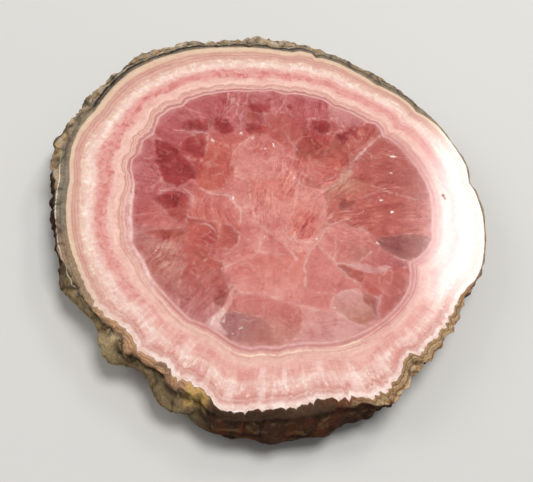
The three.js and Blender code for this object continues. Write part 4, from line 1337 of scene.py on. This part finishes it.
    def lined(self, colour, growth):
        """The thin lines next to the core: cream and dun at the front, two dark ones that follow the
        scallops, and a red rim with a gleam at the right."""
        patch, dots = self.patch, self.dots
        cream = growth.line(0.155, 0.022) * self.arc(234, 295, 4) * (0.4 + self.arc(268, 288, 5) * 0.5)
        cream = cream + growth.line(0.13, 0.022) * self.arc(301, 308, 2)
        dun = growth.line(0.215, 0.014) * self.arc(240, 292, 6) * patch.step(0.3, 0.5)
        drawn = (self.scallop * 1.2).math("MINIMUM", 1) * (0.55 + dots.step(0.35, 0.55) * 0.45)
        first = (growth.line(0.064, 0.016) + growth.line(0.09, 0.014) * 0.8).math("MINIMUM", 1)
        second = growth.line(0.183, 0.015) + growth.line(0.148, 0.01) * 0.5
        rim = growth.line(0.147, 0.026) + growth.line(0.078, 0.024) * 0.7 + growth.line(0.25, 0.018) * 0.3
        rim = rim * self.arc(312, 348, 5) * (0.4 + dots.step(0.3, 0.5) * 0.6)
        gleam = (growth.line(0.112, 0.014) + growth.line(0.03, 0.022)) * self.arc(310, 348, 5)
        # Darker inner rings on the right: partly their own colour, partly painted shade that offsets the
        # window's glare
        dim = (1 - self.arc(50, 314, 8)) * growth.step(0.34, 0.08)
        pale = self.arc(184, 232, 8) * growth.step(0.15, 0.04) * (0.3 + patch.step(0.4, 0.6) * 0.5)
        return self.painted(
            colour,
            (cream * patch.step(0.32, 0.52), "cream_line"),
            (dun * 0.5, "dun_line"),
            (first * drawn * 0.85, "plum_line"),
            (second * drawn * 0.75, "clay_line"),
            (rim * 0.9, "red_rim"),
            (gleam * 0.6, "pink_gleam"),
            (dim * 0.6, "dim_pink"),
            (pale, "pale_pink"),
        )

    def red_banded(self, colour, growth):
        """The red band, frayed along its rays, with dark specks in it and brown ones further out."""
        band = growth.step(0.325, 0.365) * growth.step(0.62 - (self.ray - 0.5) * 0.7, 0.42) * self.red
        further = growth.line(0.83, 0.05) + growth.line(0.77, 0.05)
        return self.painted(
            colour,
            ((self.ray * 0.6 + self.patch * 1.4).step(0.92, 1.16) * band * 0.75, "red_band"),
            ((self.fine + self.patch).step(1.04, 1.22) * band * 0.45, "red_speck"),
            (self.dots.step(0.56, 0.68) * further * (1 - self.south) * 0.5, "brown_speck"),
        )

    def flamed(self, colour, growth):
        """At the front, plumes in the outer half of the belt, a white border, and flames through it all."""
        strand = self.graph.noise(self.around(26, 0.12), 1.0, 5.0, 0.7, 0.4)
        plume = strand + (self.patch - strand) * (0.38 + self.arc(300, 350, 8) * 0.35)
        flame = self.graph.noise(self.around(11, 0.05), 1.0, 4.0, 0.6) + strand * 0.4
        outer = growth.step(0.42, 0.62) * growth.step(1.0, 0.84) * self.south
        whole = growth.step(0.28, 0.42) * growth.step(0.95, 0.7) * self.south
        border = growth.step(0.78, 0.97) * self.patch.step(0.42, 0.56) * self.south
        return self.painted(
            colour,
            (plume.step(0.5, 0.64) * outer * 0.75, "dark_plume"),
            (plume.step(0.48, 0.36) * outer * 0.55, "white_plume"),
            (border * 0.6, "white_border"),
            (flame.step(0.71, 0.82) * whole * 0.6, "pale_flame"),
            (flame.step(0.68, 0.56) * whole * 0.5, "rose_flame"),
        )

    def crust_colour(self, crust):
        """The crust's colour from how far past the rings a place lies."""
        edge = crust + (self.grit - 0.5) * 0.4
        wall = self.height.step(THICKNESS - 0.3, THICKNESS - 1.2)
        past = edge - (2.25 - self.arc(214, 240, 4) * 0.95)
        ledge = past.step(-0.1, 0.3) * self.arc(214, 262, 3)
        low = self.arc(214, 264, 4) * wall.math("MAXIMUM", ledge)
        front = self.arc(264, 298, 3)
        rind = self.arc(204, 350, 4) * (1 - wall) * (1 - ledge) * (1 - front * 0.9)
        colour, crease_shade_and_joints = self.weathered(wall, low, front)
        colour = self.banked(colour, edge)
        rind_share = rind * (0.3 + self.arc(228, 350, 6) * 0.55)
        colour = self.graph.blend(rind_share, colour, self.rind_colour(edge))
        colour = self.stained(colour, edge, wall, low, past)
        # Darker with the painted shade in the creases and along the dark joints between the grains
        return self.graph.scaled(colour, (0.45 + self.grit * 1.1) * (1 - crease_shade_and_joints * 0.7))

    def weathered(self, wall, low, front):
        """The crust's grains, mossy where it lies low and barky at the front, with painted highlights on the
        upper lumps and along faint ledges, painted shade at the front and along the ledges, and the painted
        shade in the creases between the lumps with the dark joints between the grains.
        """
        graph, lump = self.graph, self.lump
        shift = graph.node("ShaderNodeTexNoise", {}, {"Vector": self.spot, "Scale": 1.3, "Detail": 3.0}, 1)
        place = graph.vectors("MULTIPLY_ADD", shift, (1.1, 1.1, 1.1), self.spot)
        first, second, third = graph.parts(graph.cells(place, 0.85, 1))
        seam = graph.cells(place, 0.85, 0, "DISTANCE_TO_EDGE")
        ledges = graph.noise(graph.vectors("MULTIPLY", self.spot, (0.3, 0.3, 1.5)), 1.0, 5.0, 0.65, 0.3)
        # Painted highlight on the upper parts of the low lumps
        lump_highlight = low * lump.step(0.48, 0.66) * self.height.step(2.5, 6.0)
        # Dark bark: partly the crust's own brown, partly painted shade down the wall and on the front
        bark_and_shade_share = lump * 0.85 + self.bark * 0.7 * (0.25 + wall * 0.75) + front * 0.7
        bark_and_shade_share = bark_and_shade_share.step(0.4, 0.8) * (1 - low * 0.45)
        colour = self.painted(
            self.tones["tan"],
            (first.step(0.3, 0.7) * 0.7, "slate"),
            (second.step(0.62, 0.85) * 0.45, "ochre"),
            (third.step(0.82, 0.94) * 0.6, "chalk"),
            (low * (0.35 + lump.step(0.35, 0.6) * 0.5), "olive"),
            (lump_highlight * 0.5, "pale_moss"),
            (bark_and_shade_share, "bark"),
            # Painted highlights and painted shade along faint ledges of the wall
            (ledges.step(0.5, 0.66) * bark_and_shade_share * wall * 0.5, "dry_bark"),
            (ledges.step(0.46, 0.34) * bark_and_shade_share * wall * 0.6, "wet_bark"),
        )
        # Painted shade in the creases between the lumps, with dark joints between the grains
        return colour, self.crease.math("MAXIMUM", seam.step(0.08, 0.0) * 0.3)

    def banked(self, colour, edge):
        """The grey and black layers of the crust next to the rings, and a pale line at the left."""
        layers = edge.line(0.95, 0.42) + edge.line(0.3, 0.16) * self.arc(144, 160, 3)
        layers = ((layers + edge.line(2.0, 0.2) * self.lump.step(0.4, 0.6)) * 1.5).math("MINIMUM", 1)
        return self.painted(
            colour,
            (self.grey * edge.step(2.1, 1.6) * 0.85, "slate"),
            (edge.step(0.05, 0.25) * edge.step(1.45, 1.2) * self.dark * 0.8, "shale"),
            (layers * self.dark, "soot"),
            (edge.line(1.05, 0.35) * self.arc(184, 226, 4) * 0.25, "soot"),
            (edge.line(1.95, 0.17) * self.pale, "chalk_line"),
        )

    def rind_colour(self, edge):
        """The tan layers past the rings, folded and golden at the right, with brown lines between them."""
        golden = self.arc(298, 350, 4)
        turn_about = ((edge + self.lump * 0.8) * 5.2).math("SINE") * golden
        stripe = ((edge * 9.0 + self.lump * 6).math("SINE") * 0.5 + 0.5) * 0.45 * (1 - golden)
        folds = edge.line(0.1, 0.16) * 0.7 + edge.line(0.62, 0.13) + edge.line(1.15, 0.16) * 0.8
        folds = folds + edge.line(1.7, 0.2)
        stripe = (stripe + folds * (0.3 + golden * 0.7)) * self.grit.step(0.3, 0.55)
        return self.painted(
            self.tones["rind"],
            (golden, "gold_rind"),
            (turn_about.step(0.2, 0.9) * 0.7, "cream_fold"),
            (turn_about.step(-0.2, -0.9) * 0.6, "amber_fold"),
            (stripe, "umber_rind"),
        )

    def stained(self, colour, edge, wall, low, past):
        """Stains in their places on the crust, painted shade in the crevice below the rim, and rust on the
        front.
        """
        lump, top = self.lump, 1 - wall
        yolk = self.arc(259, 264.6, 0.8) * edge.step(0.0, 0.4) * edge.step(3.0, 2.2)
        smudge = self.arc(249.6, 254.4, 1.2) * edge.step(1.3, 0.5) * top
        scorch = self.arc(292, 301, 3) * edge.step(1.0, 0.3) * top * (0.4 + lump.step(0.3, 0.5) * 0.6)
        # Painted shade: the crevice under the rim, the line between rind and lumps, and the front edge of
        # the top
        crevice = self.height.line(THICKNESS - 1.2, 0.8) * self.arc(238, 300, 4)
        crevice = crevice.math("MAXIMUM", past.line(0.2, 0.35) * self.arc(214, 250, 3))
        crevice = (crevice * lump.step(0.36, 0.5)).math("MAXIMUM", self.arc(266, 283, 3) * top * 0.65)
        stain = self.graph.noise(self.spot, 0.28, 3.0).step(0.48, 0.64) * self.rust
        return self.painted(
            colour,
            (yolk * 0.7, "yolk"),
            (smudge * 0.6, "smudge"),
            (scorch * 0.75, "scorch"),
            (crevice * 0.85, "crevice"),
            (stain * self.height.step(0.5, 5.0) * 0.34 * (1 - low), "rust"),
        )

    def finish(self):
        """Puts core, rings and crust together, then the polish over the sound stone on top."""
        graph, height = self.graph, self.height
        ring, growth = self.ring_colour()
        colour = graph.blend(growth.step(-0.02, 0.03), self.core_colour(), ring)
        dull = self.dull.step(0.3, 0.7)
        colour = self.painted(colour, (dull * 0.7, "brown"))
        beyond = self.crust + (growth - self.growth) * 12
        wall = height.step(THICKNESS - 0.15, THICKNESS - 0.4) * height.step(0.02, 0.1)
        outside = beyond.step(-0.12, 0.12).math("MAXIMUM", wall)
        colour = graph.blend(outside, colour, self.crust_colour(beyond))
        colour = self.painted(colour, (height.step(0.3, 0.1) * 0.35, "sawn"))
        sound = self.crust.step(-0.05, -0.3) * (1 - outside * 0.8) * (1 - dull)
        polished = height.step(THICKNESS - 0.14, THICKNESS - 0.02) * sound
        finish = bpy.context.scene.stone_finish
        relief = (self.grit + self.lump * 0.6) * outside * (1 - polished * 0.7)
        bump = graph.node("ShaderNodeBump", {}, {
            "Strength": 0.9, "Distance": finish.relief, "Height": relief})
        shader = graph.node("ShaderNodeBsdfPrincipled", {}, {
            "Base Color": colour,
            "Roughness": finish.roughness + (finish.polish - finish.roughness) * polished,
            "IOR": 1.5,
            "Specular IOR Level": 0.1,
            "Normal": bump,
            "Coat Weight": polished,
            "Coat Roughness": finish.coat,
            "Coat IOR": 1.6,
        })
        graph.node("ShaderNodeOutputMaterial", {}, {0: shader})
        return graph.material


class STONE_OT_slice(bpy.types.Operator):
    """Builds the whole stone as one closed mesh with its material"""

    bl_idname = "stone.slice"
    bl_label = "Stone slice"

    def execute(self, context):
        points, faces = stone_net()
        fields = stone_fields(points)
        placed = worn(points, fields) + (*RING_CENTRE, 0)
        mesh = bpy.data.meshes.new(NAME)
        mesh.from_pydata((placed * MM).tolist(), [], faces)
        for name, values in fields.items():
            width = values.shape[1]
            kind, key = ("FLOAT_COLOR", "color") if width == 4 else ("FLOAT_VECTOR", "vector")
            attribute = mesh.attributes.new(name, kind, "POINT")
            attribute.data.foreach_set(key, values.astype(np.float32).ravel())
        mesh.polygons.foreach_set("use_smooth", np.ones(len(mesh.polygons), bool))
        mesh.update()
        if mesh.validate():
            raise RuntimeError("the stone's mesh had faces that had to be mended")
        stone = bpy.data.objects.new(NAME, mesh)
        context.scene.collection.objects.link(stone)
        layers = sum(name.startswith("crystals_") for name in fields)
        mesh.materials.append(StoneMaterial(layers).finish())
        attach(stone, "root")
        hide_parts(NODE)
        return {"FINISHED"}


# The camera looks down at the slice from the near side and is rolled a little. Its focal length is one and
# a half widths of its picture.
CAMERA_PITCH = 55
CAMERA_ROLL = 12
CAMERA_REACH = 158
CAMERA_AIM = (RING_CENTRE[0], RING_CENTRE[1] - 9, THICKNESS)
CAMERA_SENSOR = 36
CAMERA_LENS = 800 / 533 * CAMERA_SENSOR

# The lights: name, place, aim, width and length of the panel, and power in watts. The first three mirror
# in the polish at the right.
LIGHTS = [
    ("window", (181, 347, 397), (181, 347, 0), (88, 200), 0.45),
    ("window_frame", (179, 343, 400), (179, 343, 0), (106, 230), 0.1),
    ("window_glow", (177, 340, 403), (177, 340, 0), (130, 270), 0.09),
    ("sky", (110, 60, 620), (0, 0, 0), (280, 280), 2.5),
    ("fill", (-380, -20, 330), (0, 0, 0), (260, 260), 0.5),
]

# Strength of the light from all round, and half the width of the floor
SURROUNDINGS = 0.28
FLOOR_HALF = 2000


def place_camera(scene):
    """Puts the camera on the line through its aim that falls at its pitch, rolled about that line."""
    pitch, roll = math.radians(CAMERA_PITCH), math.radians(CAMERA_ROLL)
    ahead = Vector((0, math.cos(pitch), -math.sin(pitch)))
    level = Vector((1, 0, 0))
    above = level.cross(ahead)
    right = level * math.cos(roll) + above * math.sin(roll)
    up = above * math.cos(roll) - level * math.sin(roll)
    data = bpy.data.cameras.new("camera")
    data.lens = CAMERA_LENS
    data.sensor_width = CAMERA_SENSOR
    data.clip_start = 0.01
    camera = bpy.data.objects.new("camera", data)
    scene.collection.objects.link(camera)
    turn = Matrix((right, up, -ahead)).transposed().to_4x4()
    camera.matrix_world = Matrix.Translation((Vector(CAMERA_AIM) - ahead * CAMERA_REACH) * MM) @ turn
    scene.camera = camera


def area_light(scene, name, place, aim, size, power):
    """A soft panel of white light at a place, facing its aim."""
    data = bpy.data.lights.new(name, "AREA")
    data.shape = "RECTANGLE"
    data.size, data.size_y = size[0] * MM, size[1] * MM
    data.energy = power
    light = bpy.data.objects.new(name, data)
    scene.collection.objects.link(light)
    towards = Vector(aim) - Vector(place)
    turn = towards.to_track_quat("-Z", "Y").to_matrix().to_4x4()
    light.matrix_world = Matrix.Translation(Vector(place) * MM) @ turn


def pale_floor(scene):
    """A wide flat floor with a dull pale finish."""
    half = FLOOR_HALF * MM
    corners = [(-half, -half, 0), (half, -half, 0), (half, half, 0), (-half, half, 0)]
    mesh = bpy.data.meshes.new("floor")
    mesh.from_pydata(corners, [], [(0, 1, 2, 3)])
    floor = bpy.data.objects.new("floor", mesh)
    scene.collection.objects.link(floor)
    graph = Graph("pale_floor")
    shader = graph.node("ShaderNodeBsdfPrincipled", {}, {
        "Base Color": shade(214, 212, 208), "Roughness": 0.9})
    graph.node("ShaderNodeOutputMaterial", {}, {0: shader})
    mesh.materials.append(graph.material)


class STONE_OT_stage(bpy.types.Operator):
    """Makes the floor, the lights and the camera"""

    bl_idname = "stone.stage"
    bl_label = "Stage"

    def execute(self, context):
        scene = context.scene
        place_camera(scene)
        for light in LIGHTS:
            area_light(scene, *light)
        pale_floor(scene)
        world = bpy.data.worlds.new("studio")
        world.use_nodes = True
        background = world.node_tree.nodes["Background"]
        background.inputs[0].default_value = (1, 1, 1, 1)
        background.inputs[1].default_value = SURROUNDINGS
        scene.world = world
        scene.view_settings.view_transform = "Standard"
        return {"FINISHED"}


class STONE_PT_panel(bpy.types.Panel):
    """Lists the settings and the parts of the scene"""

    bl_idname = "STONE_PT_panel"
    bl_label = "Stalactite slice"
    bl_space_type = "VIEW_3D"
    bl_region_type = "UI"
    bl_category = "Stone"

    def draw(self, context):
        layout = self.layout
        layout.operator(STONE_OT_slice.bl_idname)
        layout.operator(STONE_OT_stage.bl_idname)
        for group in (context.scene.stone_finish, context.scene.stone_tones):
            for name in type(group).__annotations__:
                layout.prop(group, name)


CLASSES = (StoneTones, StoneFinish, STONE_OT_slice, STONE_OT_stage, STONE_PT_panel)


def register():
    for item in CLASSES:
        bpy.utils.register_class(item)
    bpy.types.Scene.stone_tones = PointerProperty(type=StoneTones)
    bpy.types.Scene.stone_finish = PointerProperty(type=StoneFinish)


def unregister():
    del bpy.types.Scene.stone_finish
    del bpy.types.Scene.stone_tones
    for item in reversed(CLASSES):
        bpy.utils.unregister_class(item)


def main():
    register()
    bpy.ops.stone.slice()
    bpy.ops.stone.stage()


if __name__ == "__main__":
    main()
